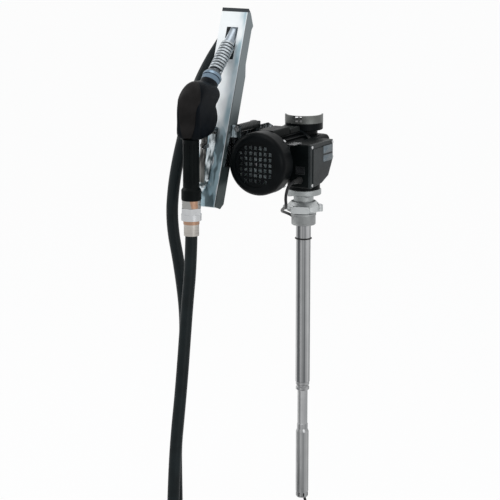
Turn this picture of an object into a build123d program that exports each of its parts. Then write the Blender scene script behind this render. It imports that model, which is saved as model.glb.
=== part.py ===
from build123d import *
import os
from math import cos, pi, radians, sin, tan

# A drum-mounted transfer pump for diesel: an electric vane pump that screws into a drum's
# bung by a telescopic suction tube, with its hose, nozzle, nozzle holder and mains lead.
# Millimetres. +Z is up, the bung thread's axis is Z, the motor's axis runs along Y and the
# fan cover faces -Y. The origin is in the middle of the bung thread.

# Running clearances
SHAFT_GAP = 0.05
FIT_GAP = 0.3

# Bung thread and the quick coupling over it, heights above the thread's middle
THREAD_R = 29.8
THREAD_HALF = 12.0
THREAD_GROOVE = 1.0
ADAPTER_R = 31.0
ADAPTER_SHOULDER = 6.0
ADAPTER_FLANGE_R = 33.0
ADAPTER_FLANGE_H = 14.0
SEAL_H = 1.5
SPIGOT_FLANGE_H = 9.0
CLAMP_R = 41.0
CLAMP_WALL = 5.0
CLAMP_LIP = 4.0
CLAMP_SPLIT = 1.2
CLAMP_TURN = 18.0
CLAMP_BAR_L = 46.0
CLAMP_BAR_H = 17.0
CLAMP_BAR_T = 5.0
EAR_W = 9.0
EAR_H = 12.0
EAR_BOLT_R = 2.5
HINGE_R = 8.0
HINGE_PIN_R = 3.0

# Neck and flange under the pump
NECK_R = 24.5
NECK_BORE_R = 16.0
NECK_H = 21.0
FLANGE_R = 43.0
FLANGE_H = 14.0
FLANGE_BOLT_CIRCLE = 35.0
BOLT_R = 3.0
BOLT_HEAD_R = 5.2
BOLT_HEAD_H = 4.0

# Suction tube
TUBE_R = 17.75
TUBE_WALL = 1.5
TUBE_END = -410.0
TUBE_SOCKET = 20.0
SLEEVE_LENGTH = 33.0
SLEEVE_WALL = 0.45
ORING_R = 1.7
NUT_LENGTH = 22.0
NUT_R = 16.75
NUT_SPIGOT = 9.0
INNER_R = 12.5
INNER_WALL = 1.5
INNER_TOP = -130.0
GUIDE_LENGTH = 14.0
INNER_END = -519.0
NECKLET_H = 14.0
NECKLET_R = 13.4
FOOT_R = 16.0
FOOT_WALL = 2.5
FOOT_SHOULDER = 7.0
FOOT_LENGTH = 156.0
STRAINER_R = 15.2
STRAINER_LENGTH = 17.0
STRAINER_WALL = 1.6
STRAINER_SLOTS = 8
SEAT_H = 4.0
SEAT_BORE_R = 7.5
VALVE_R = 10.0
VALVE_H = 3.0
VALVE_LIFT = 5.0

# Electric motor
AXIS_Z = 170.0
FRAME_R = 56.0
FRAME_WALL = 6.0
FIN_H = 6.0
FIN_T = 2.4
FIN_COUNT = 30
FRAME_Y0 = -188.0
FRAME_Y1 = -62.0
SHAFT_R = 7.0
BEARING_R = 16.0
BEARING_W = 10.0
STATOR_WALL = 21.1
AIR_GAP = 0.4
CORE_LENGTH = 70.0
CORE_Y = -125.0
WINDING_L = 12.0
REAR_SHIELD_T = 12.0
LUG_W = 14.0
FAN_R = 54.0
FAN_HUB_R = 14.0
FAN_W = 18.0
FAN_BLADES = 7
COVER_R = 75.0
COVER_WALL = 2.5
COVER_DEPTH = 49.0
COVER_FACE_Y = -241.0
COVER_ROUND = 17.0
GRILLE_R = 54.0
GRILLE_RECESS = 3.0
GRILLE_PITCH = 13.0
GRILLE_HOLE = 8.6
SCREW_R = 2.0
SCREW_HEAD_R = 3.6
SCREW_HEAD_H = 2.2

# Covers on top of the motor
CAP_BOX_W = 44.0
CAP_BOX_TOP = 245.0
CAP_BOX_Y0 = -190.0
CAP_BOX_Y1 = -112.0
CAP_BOX_WALL = 2.5
CAPACITOR_R = 5.0
LEAD_BOX_TOP = 239.0
LEAD_BOX_Y0 = -108.0
LEAD_BOX_Y1 = -62.0

# Pump head
HEAD_HALF_W = 56.0
HEAD_TOP = 213.0
HEAD_BOTTOM = 111.0
HEAD_ROUND = 14.0
HEAD_Y0 = -50.0
HEAD_Y1 = 20.0
END_COVER_T = 16.0
END_COVER_INSET = 2.0
CHAMBER_R = 33.0
CHAMBER_SHIFT = 4.0
CHAMBER_Y0 = -22.0
ROTOR_R = 28.5
VANES = 5
VANE_T = 2.2
VANE_H = 13.0
PORT_R = 14.0
SEAL_R = 14.0
SEAL_W = 10.0
BYPASS_R = 9.0
BYPASS_END = -37.0
POPPET_T = 3.0
POPPET_LIFT = 3.0
SPRING_R = 6.0
SPRING_WIRE = 1.1
SPRING_TURNS = 3
BYPASS_CAP_R = 12.0
BYPASS_CAP_T = 7.0

# Outlet head and ring
OUTLET_NECK_R = 33.0
OUTLET_NECK_H = 11.0
OUTLET_BAND_R = 46.0
OUTLET_BAND_H = 17.7
RING_WALL = 3.3
RING_H = 19.5
RING_BASE = 3.0
RING_BACK = 2.0
WINDOW_W = 17.0
WINDOW_H = 13.0
WINDOW_DROP = 1.6
WINDOW_TURN = 11.0
OUTLET_TURN = 30.0
OUTLET_DIP = 30.0
ELBOW_R = 15.0
ELBOW_REACH = 84.0
ELBOW_Z = 227.5
ELBOW_LEG = 26.0
ELBOW_BORE_R = 9.0
BOSS_OUT = 8.0
FERRULE_L = 30.0
FERRULE_R = 18.0

# Terminal box
BOX_SINK = 6.0
BOX_DEPTH = 48.0
LID_T = 8.0
BOX_Y0 = -159.0
BOX_Y1 = -46.0
BOX_Z0 = 109.0
BOX_Z1 = 213.0
BOX_WALL = 3.0
BOX_TAPER_Y = 55.0
BOX_TAPER_Z = 57.0
LID_ROUND = 3.0
SWITCH_IN = 26.5
SWITCH_Z = 151.0
SWITCH_W = 24.0
SWITCH_H = 19.0
SWITCH_BEZEL = 3.0
ROCKER_W = 18.0
ROCKER_H = 14.0
ROCKER_TILT = 8.0
ROCKER_GAP = 0.8
GLAND_IN = 26.0
GLAND_Z = 128.0
GLAND_R = 7.5
GLAND_L = 12.0
BOOT_L = 22.0
STRAP_IN = 4.0
STRAP_W = 20.0
STRAP_T = 2.0
STRAP_OVER = 14.0
STRAP_OUT = 26.0
STRAP_TAB_W = 8.0
STRAP_TAB_H = 16.0

# Nozzle holder, measured up its face from the bottom edge
HOLDER_X = -115.0
HOLDER_BASE_Y = -289.0
HOLDER_BASE_Z = 70.0
HOLDER_LEAN = 19.4
HOLDER_W = 72.0
HOLDER_L = 478.0
HOLDER_DEPTH = 37.0
HOLDER_T = 1.5
SLOT_W = 31.0
SLOT_LOW = 354.0
SLOT_HIGH = 432.0
LIP_H = 12.0

# Holder bracket
BRACKET_T = 3.0
BRACKET_ARM_Z = 222.0
BRACKET_ARM_H = 34.0
BRACKET_SCREW_DEPTH = 8.0
BRACKET_SCREW_Y = -30.0
BRACKET_SCREW_LOW = 26.0
BRACKET_SCREW_PITCH = 22.0
BRACKET_FOOT = 46.0
BRACKET_END_Y = -14.0
BRACKET_END_W = 28.0
BRACKET_END_DROP = 44.0
FLANGE_SCREW_IN = 18.0
FLANGE_SCREW_UP = 4.0
FLANGE_SCREW_PITCH = 50.0
SPACER_R = 7.0
STUD_R = 10.0
STUD_Y0 = -205.0
STUD_Y1 = -118.0
STUD_Z = 246.0
STUD_BOLT_R = 4.0

# Nozzle, all in the plane of the holder's middle
GRIP_Y = -336.0
GRIP_R = 19.4
GRIP_TOP = 236.0
GRIP_BOTTOM = 122.0
GRIP_FLUTES = 10
CUFF_R = 23.5
CUFF_BOTTOM = 91.5
NOZZLE_HALF_W = 31.0
BODY_D = 96.0
BODY_H = 148.0
BODY_ROUND = 9.0
SHIELD_W = 54.0
SHIELD_H = 88.0
NOZZLE_COVER_T = 5.0
SPOUT_ROOT_Y = -243.0
SPOUT_ROOT_Z = 366.0
SPOUT_LEAN = 47.0
SPOUT_R = 12.0
SPOUT_BORE_R = 9.5
SPOUT_LENGTH = 172.0
SPOUT_TIP_R = 11.8
SPOUT_TIP_L = 20.0
SPOUT_WIRE_R = 1.7
SPOUT_COILS = 10
SPOUT_COIL_PITCH = 8.4
SPOUT_COLLAR_R = 23.0
SPOUT_COLLAR_L = 17.0
LEVER_PIVOT_Y = -277.0
LEVER_PIVOT_Z = 244.0
LEVER_L = 118.0
LEVER_NECK = 20.0
LEVER_KNEE = 70.0
CLIP_DROP = 32.0
LEVER_W = 16.0
LEVER_PIN_R = 3.0
GUARD_T = 3.0
GUARD_W = 18.0
GUARD_GAP = 0.5
GUARD_RISE = 18.0
GUARD_DROP = 18.0
GUARD_REACH = 36.0
SWIVEL_RING_R = 22.0
SWIVEL_RING_H = 17.5
SWIVEL_TAIL_R = 17.0
SWIVEL_NUT_R = 25.5
SWIVEL_NUT_H = 30.0
BAND_R = 19.0
BAND_H = 9.0
NOZZLE_FERRULE_R = 18.0
NOZZLE_FERRULE_L = 27.0
NOZZLE_FERRULE_GROOVES = 3

# Hose and mains lead
HOSE_D = 29.0
LEAD_D = 7.0
FLOOR_Z = -802.0
HOSE_COIL_R = 160.0
HOSE_COIL_X = -62.5
HOSE_COIL_Y = -197.7
LEAD_COIL_R = 39.5
LEAD_COIL_BAND = 17.0
LEAD_COIL_H = 14.0
LEAD_COIL_X = 93.5
LEAD_COIL_Y = -7.5
PLUG_R = 18.0
PLUG_L = 34.0
PLUG_LEAVE = -120.0
PLUG_LEAVE_R = 42.0
PLUG_RUN = 56.7
PIN_R = 2.4
PIN_L = 19.0
PIN_PITCH = 19.0

# Values that follow from the ones above
CORE_R = FRAME_R - FRAME_WALL - STATOR_WALL - AIR_GAP
BOX_X0 = FRAME_R - BOX_SINK
BOX_X1 = BOX_X0 + BOX_DEPTH
SWITCH_X = BOX_X0 + SWITCH_IN
GLAND_X = BOX_X0 + GLAND_IN
ADAPTER_TOP = THREAD_HALF + ADAPTER_SHOULDER + ADAPTER_FLANGE_H
SPIGOT_Z = ADAPTER_TOP + SEAL_H
NECK_TOP = SPIGOT_Z + SPIGOT_FLANGE_H + NECK_H
FLANGE_TOP = NECK_TOP + FLANGE_H
TUBE_BORE = TUBE_R - TUBE_WALL
FOOT_TOP = INNER_END - NECKLET_H
FOOT_BOTTOM = FOOT_TOP - FOOT_SHOULDER - FOOT_LENGTH
OUTLET_TOP = HEAD_TOP + OUTLET_NECK_H + OUTLET_BAND_H
END_Y = HEAD_Y1 + END_COVER_T
COVER_END_Y = COVER_FACE_Y + COVER_DEPTH
LID_X = BOX_X1 + LID_T

# The hose, from the outlet elbow round behind the holder and down to the coil, and from the
# coil up to the nozzle
SUPPLY_ROUTE = [
    (-72.75, 55, 207), (-115.5, 30.3, 178.5), (-174, 25, 161), (-243, 42, 165),
    (-302, 69, 203), (-331, 94, 262), (-315, 121, 327), (-278, 140, 382), (-251, 115, 437), (-221, 63, 470),
    (-194, -2, 470), (-186, -67, 438), (-200, -115, 384), (-211, -156, 322),
    (-225, -194, 215), (-236, -219, 110), (-238, -230, 9), (-223, -215, -106),
    (-223, -189, -241), (-247, -166, -372), (-276, -142, -516), (-294, -126, -590),
    (-295, -124, -664), (-272, -159, -742), (-232, -226, -787.5), (-187, -302, -787.5),
]
DELIVERY_ROUTE = [
    (-115, -336, 20), (-115, -340, -64), (-117, -354, -154), (-114, -386, -342),
    (-114, -415, -482), (-110, -435, -630), (-131, -399, -708), (-170, -332, -758),
    (-214, -256, -758),
]
# The mains lead, from the terminal box down behind the suction tube to its coil
LEAD_ROUTE = [
    (76, -193.4, 128), (76, -211, 126), (76, -223, 113), (75, -227, 95), (72, -218, 78),
    (60, -199, 67), (36, -164, 58), (7, -117, 46), (-22, -70, 32), (-45, -26, 20),
    (-57, 11, 10), (-54, 41, -2), (-44, 56, -24), (-38, 60, -56), (-34, 59, -110),
    (-31, 58, -190), (-31, 57, -285), (-32, 58, -385), (-35, 59, -485), (-37, 61, -580),
    (-36, 63, -670), (-29, 62, -732), (-10, 54, -771), (11, 37, -794), (32.5, 14.5, -798.2),
    (51.5, -14.5, -798.2),
]


def disc(radius, z0, z1):
    """A cylinder on the Z axis between two heights."""
    return Pos(0, 0, (z0 + z1) / 2) * Cylinder(radius, abs(z1 - z0))


def pipe(outer, inner, z0, z1):
    """A hollow cylinder on the Z axis between two heights."""
    return disc(outer, z0, z1) - disc(inner, min(z0, z1) - 1, max(z0, z1) + 1)


def along_y(shape, x=0.0, z=AXIS_Z):
    """Turn a shape made on Z so that its +Z runs along +Y, on the motor's axis."""
    return Pos(x, 0, z) * Rot(-90, 0, 0) * shape


def along_x(shape, y=0.0, z=AXIS_Z):
    """Turn a shape made on Z so that its +Z runs along +X."""
    return Pos(0, y, z) * Rot(0, 90, 0) * shape


def turned(points):
    """A solid of revolution about Z from a profile of (radius, height) points."""
    face = make_face(Plane.XZ * Polyline(*points, close=True))
    return revolve(face, Axis.Z, 360)


def block(x0, x1, y0, y1, z0, z1):
    """A box between two corners."""
    box = Box(abs(x1 - x0), abs(y1 - y0), abs(z1 - z0))
    return Pos((x0 + x1) / 2, (y0 + y1) / 2, (z0 + z1) / 2) * box


def screw(shank_r, shank_l, head_r, head_h):
    """A screw on Z: the head above the origin, the shank below."""
    return disc(shank_r, -shank_l, 0) + disc(head_r, 0, head_h)


def hex_screw(shank_r, shank_l, head_r, head_h):
    """A hexagon-headed screw on Z."""
    head = extrude(RegularPolygon(head_r, 6), head_h)
    return disc(shank_r, -shank_l, 0) + head


def solids_of(shapes):
    """Copies of one piece, kept as separate solids in one node."""
    return Compound(children=[shape for shape in shapes])


# Quick coupling and its bung adapter


def bung_adapter():
    """Threaded collar that screws into the drum, with the flange that the clamp grips."""
    top = THREAD_HALF + ADAPTER_SHOULDER
    profile = [
        (TUBE_R, -THREAD_HALF), (THREAD_R - 2, -THREAD_HALF), (THREAD_R, 2 - THREAD_HALF),
        (THREAD_R, THREAD_HALF - THREAD_GROOVE), (THREAD_R - 1, THREAD_HALF),
        (ADAPTER_R, THREAD_HALF), (ADAPTER_R, top - 2), (ADAPTER_FLANGE_R - 4, top),
        (ADAPTER_FLANGE_R - 4, top + 4), (ADAPTER_FLANGE_R, top + 4),
        (ADAPTER_FLANGE_R, ADAPTER_TOP), (TUBE_R - TUBE_WALL, ADAPTER_TOP),
        (TUBE_R - TUBE_WALL, TUBE_SOCKET), (TUBE_R, TUBE_SOCKET),
    ]
    return turned(profile)


def rubber_seals():
    """Flat ring of the coupling, O-ring on the tube and lip seal of the shaft."""
    flat = pipe(ADAPTER_FLANGE_R - 5, TUBE_BORE + 1, ADAPTER_TOP, SPIGOT_Z)
    z = -THREAD_HALF - SLEEVE_LENGTH - ORING_R
    section = Plane.XZ * Pos(TUBE_R + ORING_R - 0.1, z) * RegularPolygon(ORING_R, 8)
    oring = revolve(section, Axis.Z, 360) - disc(TUBE_R, z - 2 * ORING_R, z + 2 * ORING_R)
    lip = along_y(pipe(SEAL_R, SHAFT_R + SHAFT_GAP, HEAD_Y0, HEAD_Y0 + SEAL_W - 1))
    return solids_of([flat, oring, lip])


def inlet_neck():
    """Cast neck: the spigot flange below, the pump's flange above and a bore through."""
    top = SPIGOT_Z + SPIGOT_FLANGE_H
    body = disc(ADAPTER_FLANGE_R, SPIGOT_Z, top) + disc(NECK_R, top, NECK_TOP)
    body += disc(FLANGE_R, NECK_TOP, FLANGE_TOP)
    body -= disc(NECK_BORE_R, SPIGOT_Z - 1, FLANGE_TOP + 1)
    holes = PolarLocations(FLANGE_BOLT_CIRCLE, 4, 45)
    body -= holes * disc(BOLT_R + SHAFT_GAP, NECK_TOP - 1, FLANGE_TOP + 1)
    rim = body.edges().filter_by(GeomType.CIRCLE)
    rim = rim.filter_by(lambda edge: abs(edge.radius - FLANGE_R) < 0.01)
    return chamfer(rim, 1.5)


def pump_bolts():
    """Four screws that hold the neck to the pump and four that hold the end cover."""
    bolt = Pos(0, 0, NECK_TOP) * Rot(180, 0, 0)
    bolt = bolt * hex_screw(BOLT_R, FLANGE_H + 12, BOLT_HEAD_R, BOLT_HEAD_H)
    pieces = list(PolarLocations(FLANGE_BOLT_CIRCLE, 4, 45) * bolt)
    seat = HEAD_Y1 + END_COVER_T - 6
    one = Pos(0, 0, seat) * hex_screw(BOLT_R, END_COVER_T, BOLT_HEAD_R, BOLT_HEAD_H)
    pieces += [along_y(one, x, z) for x, z in end_cover_holes()]
    return solids_of(pieces)


def clamp_ring():
    """The whole clamp, boat-shaped from the side, before it is split into halves."""
    low = THREAD_HALF + ADAPTER_SHOULDER
    inner = ADAPTER_FLANGE_R + FIT_GAP
    high = SPIGOT_Z + SPIGOT_FLANGE_H
    middle = (low + high) / 2
    flat = EAR_H / 2
    profile = [
        (inner - CLAMP_LIP, low + FIT_GAP), (ADAPTER_R + 1, low + FIT_GAP),
        (CLAMP_R, middle - flat), (CLAMP_R, middle + flat),
        (ADAPTER_R, high + CLAMP_LIP), (inner - CLAMP_LIP, high + CLAMP_LIP),
        (inner - CLAMP_LIP, high + FIT_GAP), (inner, high + FIT_GAP),
        (inner, low + CLAMP_LIP), (inner - CLAMP_LIP, low + CLAMP_LIP - FIT_GAP),
    ]
    return turned(profile), middle


def clamp_half(front):
    """One half of the clamp with its ear on the left and its hinge knuckle on the right."""
    ring, middle = clamp_ring()
    side = -1 if front else 1
    reach = 2 * CLAMP_R
    keep = block(-reach, reach, side * CLAMP_SPLIT / 2, side * reach, 0, 2 * reach)
    half = ring & keep
    ear = block(
        -CLAMP_R - EAR_W, -CLAMP_R + 4, side * CLAMP_SPLIT / 2, side * 8,
        middle - EAR_H / 2, middle + EAR_H / 2,
    )
    half += fillet(ear.edges().filter_by(Axis.Y).group_by(Axis.X)[0], 4)
    bolt_hole = Pos(-CLAMP_R - EAR_W / 2 + 1, 0, middle) * Rot(90, 0, 0)
    half -= bolt_hole * Cylinder(EAR_BOLT_R + SHAFT_GAP, 40)
    knuckle_h = EAR_H / 2 + 2
    low = middle - knuckle_h if front else middle + 0.2
    knuckle = Pos(CLAMP_R - 1, 0, 0) * disc(HINGE_R, low, low + knuckle_h - 0.2)
    other = middle if front else middle - knuckle_h
    gap = disc(HINGE_R + FIT_GAP, other, other + knuckle_h + 0.2)
    half -= Pos(CLAMP_R - 1, 0, 0) * gap
    half += knuckle - disc(ADAPTER_FLANGE_R + FIT_GAP, 0, FLANGE_TOP)
    half -= Pos(CLAMP_R - 1, 0, 0) * disc(HINGE_PIN_R + SHAFT_GAP, 0, FLANGE_TOP)
    half -= Pos(CLAMP_R - 1, 0, 0) * disc(HINGE_R, middle + knuckle_h, FLANGE_TOP)
    if front:
        bar = Rectangle(CLAMP_BAR_L, CLAMP_BAR_H)
        bar = chamfer(bar.vertices(), 4)
        depth = CLAMP_R + CLAMP_BAR_T - ADAPTER_FLANGE_R - 2
        plate = Pos(0, -CLAMP_R - CLAMP_BAR_T, middle) * Rot(90, 0, 0) * extrude(bar, -depth)
        half += plate - disc(ADAPTER_FLANGE_R + 2, 0, FLANGE_TOP)
    return Rot(0, 0, CLAMP_TURN) * half


def clamp_fasteners():
    """Ear bolt with its nut, and the headed pin of the hinge."""
    middle = clamp_ring()[1]
    place = Rot(0, 0, CLAMP_TURN) * Pos(-CLAMP_R - EAR_W / 2 + 1, -8, middle)
    bolt = place * Rot(90, 0, 0) * hex_screw(EAR_BOLT_R, 22, 4.4, 3.5)
    nut = extrude(RegularPolygon(4.4, 6), 4) - Cylinder(EAR_BOLT_R, 20)
    nut = Rot(0, 0, CLAMP_TURN) * Pos(-CLAMP_R - EAR_W / 2 + 1, 8, middle) * Rot(-90, 0, 0) * nut
    top = middle + EAR_H / 2 + 2
    pin = disc(HINGE_PIN_R, middle - EAR_H / 2 - 3, top) + disc(HINGE_PIN_R + 2, top, top + 2)
    pin = Rot(0, 0, CLAMP_TURN) * Pos(CLAMP_R - 1, 0, 0) * pin
    return solids_of([bolt, nut, pin])


# Suction tube


def suction_tube_outer():
    """Fixed outer tube, from its socket in the adapter to the lock nut, with its sleeve."""
    tube = pipe(TUBE_R, TUBE_BORE, TUBE_END, TUBE_SOCKET)
    low = -THREAD_HALF - SLEEVE_LENGTH
    sleeve = pipe(TUBE_R + SLEEVE_WALL, TUBE_R, low, -THREAD_HALF)
    return solids_of([tube, sleeve])


def lock_nut():
    """Nut that grips the inner tube: two beads, a waist and a spigot inside the tube."""
    low = TUBE_END - NUT_LENGTH
    high = TUBE_END - FIT_GAP
    bead = NUT_LENGTH * 0.42
    bore = INNER_R + SHAFT_GAP
    spigot = TUBE_BORE - SHAFT_GAP
    profile = [
        (bore, low), (NUT_R - 2, low), (NUT_R, low + 2), (NUT_R, low + bead - 1.5),
        (NUT_R - 2, low + bead + 0.3), (NUT_R - 2, high - bead - 0.3),
        (NUT_R, high - bead + 1.5), (NUT_R, high - 1), (spigot, high),
        (spigot, high + NUT_SPIGOT), (bore, high + NUT_SPIGOT),
    ]
    return turned(profile)


def suction_tube_inner():
    """Sliding inner tube with its guide at the top and the necklet at the bottom."""
    bore = INNER_R - INNER_WALL
    guide = TUBE_BORE - SHAFT_GAP
    profile = [
        (bore, FOOT_TOP), (NECKLET_R, FOOT_TOP), (NECKLET_R, INNER_END - 1),
        (INNER_R, INNER_END), (INNER_R, INNER_TOP - GUIDE_LENGTH),
        (guide, INNER_TOP - GUIDE_LENGTH + 2), (guide, INNER_TOP), (bore, INNER_TOP),
    ]
    return turned(profile)


def foot_sleeve():
    """Foot tube: shoulder at the top, seat ledge of the foot valve inside."""
    shoulder = FOOT_TOP - FOOT_SHOULDER
    bore = FOOT_R - FOOT_WALL
    seat = shoulder - 2 * FOOT_WALL - VALVE_H - VALVE_LIFT
    profile = [
        (INNER_R - INNER_WALL, FOOT_TOP), (NECKLET_R, FOOT_TOP), (FOOT_R, shoulder),
        (FOOT_R, FOOT_BOTTOM), (bore, FOOT_BOTTOM), (bore, seat - SEAT_H),
        (SEAT_BORE_R, seat - SEAT_H), (SEAT_BORE_R, seat), (bore, seat),
        (bore, shoulder - FOOT_WALL), (INNER_R - INNER_WALL - 3, shoulder - FOOT_WALL),
        (INNER_R - INNER_WALL - 3, FOOT_TOP - 2), (INNER_R - INNER_WALL, FOOT_TOP - 2),
    ]
    return turned(profile), seat


def foot_valve():
    """Disc of the foot valve on its seat, with a winged stem in the seat's bore."""
    seat = foot_sleeve()[1]
    plate = disc(VALVE_R, seat + 0.02, seat + VALVE_H)
    stem = disc(SEAT_BORE_R - SHAFT_GAP, seat - SEAT_H - 4, seat + 1)
    wings = disc(SEAT_BORE_R + 1, seat - SEAT_H - 5, seat + 0.01)
    for turn in (45, 135):
        wings -= Rot(0, 0, turn) * block(-1.2, 1.2, -20, 20, seat - 40, seat + 10)
    return plate + (stem - wings)


def foot_strainer():
    """Slotted cup that keeps dirt out, with a domed end."""
    low = FOOT_BOTTOM - STRAINER_LENGTH
    cup = disc(STRAINER_R, low, FOOT_BOTTOM)
    cup = fillet(cup.edges().group_by(Axis.Z)[0], 6)
    hollow = disc(STRAINER_R - STRAINER_WALL, low + STRAINER_WALL, FOOT_BOTTOM + 1)
    cup -= fillet(hollow.edges().group_by(Axis.Z)[0], 4.5)
    slot = block(STRAINER_R - 5, STRAINER_R + 2, -1.6, 1.6, low + 6, FOOT_BOTTOM - 3)
    cup -= PolarLocations(0, STRAINER_SLOTS) * slot
    return cup


# Electric motor


def motor_housing():
    """Finned tube of the motor, bare where the terminal box sits."""
    ring = Circle(FRAME_R) - Circle(FRAME_R - FRAME_WALL)
    for index in range(FIN_COUNT):
        angle = 360 * (index + 0.5) / FIN_COUNT
        offset = min(angle, 360 - angle)
        if offset > 42:
            centre = Pos(FRAME_R + FIN_H / 2 - 0.5, 0) * Rectangle(FIN_H + 1, FIN_T)
            ring += Rot(0, 0, angle) * centre
    return along_y(Pos(0, 0, FRAME_Y0) * extrude(ring, FRAME_Y1 - FRAME_Y0))


def stator():
    """Wound core, pressed into the housing, and the two coil ends beside it."""
    half = CORE_LENGTH / 2
    core = pipe(FRAME_R - FRAME_WALL, CORE_R + AIR_GAP, CORE_Y - half, CORE_Y + half)
    pieces = [along_y(core)]
    for z0 in (CORE_Y - half - WINDING_L, CORE_Y + half):
        coil = pipe(FRAME_R - FRAME_WALL - 5, CORE_R + 4, z0, z0 + WINDING_L)
        pieces.append(along_y(coil))
    return solids_of(pieces)


def motor_rotor():
    """Shaft of the fan, the motor and the pump's rotor, with the squirrel-cage core on it."""
    half = CORE_LENGTH / 2
    core = pipe(CORE_R, SHAFT_R, CORE_Y - half, CORE_Y + half)
    shaft = disc(SHAFT_R, COVER_FACE_Y + 9, HEAD_Y1 - 0.4)
    return solids_of([along_y(core), along_y(shaft)])


def bearings():
    """Ball bearings at both ends, drawn as closed rings."""
    seats = (FRAME_Y0 + 2, HEAD_Y0 - BEARING_W - 2)
    rings = [pipe(BEARING_R, SHAFT_R + SHAFT_GAP, y, y + BEARING_W) for y in seats]
    return solids_of([along_y(ring) for ring in rings])


def rear_shield():
    """End shield on the fan side: the bearing seat and the lugs of the fan cover."""
    y0 = FRAME_Y0 - REAR_SHIELD_T
    plate = disc(FRAME_R, y0, FRAME_Y0) + disc(FRAME_R - FRAME_WALL, y0, FRAME_Y0 + 3)
    plate += disc(BEARING_R + 4, FRAME_Y0, FRAME_Y0 + BEARING_W + 2)
    plate -= disc(BEARING_R, FRAME_Y0 + 2, FRAME_Y0 + 40)
    plate -= disc(SHAFT_R + 1, y0 - 1, FRAME_Y0 + 4)
    reach = COVER_R - COVER_WALL
    lug = block(FRAME_R - 6, reach + 1, -LUG_W / 2, LUG_W / 2, y0, FRAME_Y0 - 2)
    plate += PolarLocations(0, 4, 45) * (lug & disc(reach, y0 - 1, FRAME_Y0 + 1))
    hole = Rot(0, 90, 0) * Cylinder(SCREW_R, 14)
    y_hole = (y0 + FRAME_Y0 - 2) / 2
    plate -= PolarLocations(0, 4, 45) * (Pos(reach - 2, 0, y_hole) * hole)
    return along_y(plate), y_hole


def drive_shield():
    """End shield on the pump side, bolted between the motor and the pump head."""
    y0 = HEAD_Y0 - BEARING_W - 2
    plate = disc(FRAME_R + FIN_H, FRAME_Y1, HEAD_Y0)
    plate -= disc(BEARING_R, y0, y0 + BEARING_W)
    plate -= disc(SHAFT_R + 1, y0 - 1, HEAD_Y0 + 1)
    return along_y(plate)


def cooling_fan():
    """Fan on the rear of the shaft: a hub, a back plate and straight blades."""
    y0 = COVER_FACE_Y + 11
    fan = disc(FAN_HUB_R, y0, y0 + FAN_W) + disc(FAN_R - 14, y0 + FAN_W - 2, y0 + FAN_W)
    blade = block(FAN_HUB_R - 2, FAN_R, -1.2, 1.2, y0, y0 + FAN_W)
    fan += PolarLocations(0, FAN_BLADES) * blade
    return along_y(fan - disc(SHAFT_R, y0 - 1, y0 + FAN_W + 1))


def fan_cover():
    """Cover over the fan: broad rounded rim, recessed grille of square holes."""
    shell = disc(COVER_R, 0, COVER_DEPTH)
    shell = fillet(shell.edges().group_by(Axis.Z)[0], COVER_ROUND)
    inner = disc(COVER_R - COVER_WALL, COVER_WALL + GRILLE_RECESS, COVER_DEPTH + 1)
    inner = fillet(inner.edges().group_by(Axis.Z)[0], COVER_ROUND - GRILLE_RECESS)
    shell -= inner
    shell -= disc(GRILLE_R, -1, GRILLE_RECESS)
    spots = GridLocations(GRILLE_PITCH, GRILLE_PITCH, 9, 9)
    inside = [s for s in spots if s.position.length + GRILLE_HOLE * 0.62 < GRILLE_R]
    holes = Sketch() + [spot * Rectangle(GRILLE_HOLE, GRILLE_HOLE) for spot in inside]
    shell -= extrude(holes, COVER_DEPTH / 2)
    y_hole = rear_shield()[1] - COVER_FACE_Y
    hole = Rot(0, 90, 0) * Cylinder(SCREW_R + SHAFT_GAP, 14)
    shell -= PolarLocations(0, 4, 45) * (Pos(COVER_R, 0, y_hole) * hole)
    return along_y(Pos(0, 0, COVER_FACE_Y) * shell)


def small_screws():
    """Four screws of the fan cover, into the shield's lugs, and four of the box's lid."""
    y_hole = rear_shield()[1]
    one = Pos(COVER_R + 0.1, 0, y_hole) * Rot(0, 90, 0)
    one = one * screw(SCREW_R, COVER_WALL + 5, SCREW_HEAD_R, SCREW_HEAD_H)
    pieces = [along_y(s) for s in PolarLocations(0, 4, 45) * one]
    lid = Pos(0, 0, LID_X - 2) * screw(SCREW_R, LID_T + 4, SCREW_HEAD_R, SCREW_HEAD_H)
    pieces += [along_x(lid, y, z) for y, z in lid_screw_spots()]
    return solids_of(pieces)


def top_box(y0, y1, top):
    """Outline of a cover on top of the motor, cut to sit on the fins."""
    box = block(-CAP_BOX_W / 2, CAP_BOX_W / 2, y0, y1, AXIS_Z + FRAME_R - 6, top)
    box = fillet(box.edges().filter_by(Axis.Y).group_by(Axis.Z)[-1], 4)
    return box - along_y(disc(FRAME_R + FIN_H + SHAFT_GAP, y0 - 5, y1 + 5))


def top_covers():
    """Hollow cover with the run capacitor in it, and the lower cover of the leads."""
    outer = top_box(CAP_BOX_Y0, CAP_BOX_Y1, CAP_BOX_TOP)
    wall = CAP_BOX_WALL
    hollow = block(
        -CAP_BOX_W / 2 + wall, CAP_BOX_W / 2 - wall, CAP_BOX_Y0 + wall, CAP_BOX_Y1 - wall,
        AXIS_Z, CAP_BOX_TOP - wall,
    )
    shell = outer - (hollow - along_y(disc(FRAME_R + FIN_H, CAP_BOX_Y0, CAP_BOX_Y1)))
    z = AXIS_Z + FRAME_R + FIN_H + CAPACITOR_R + SHAFT_GAP
    capacitor = along_y(disc(CAPACITOR_R, CAP_BOX_Y0 + 6, CAP_BOX_Y1 - 6), 0, z)
    leads = top_box(LEAD_BOX_Y0, LEAD_BOX_Y1, LEAD_BOX_TOP)
    return solids_of([shell, capacitor, leads])


# Pump head


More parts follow.
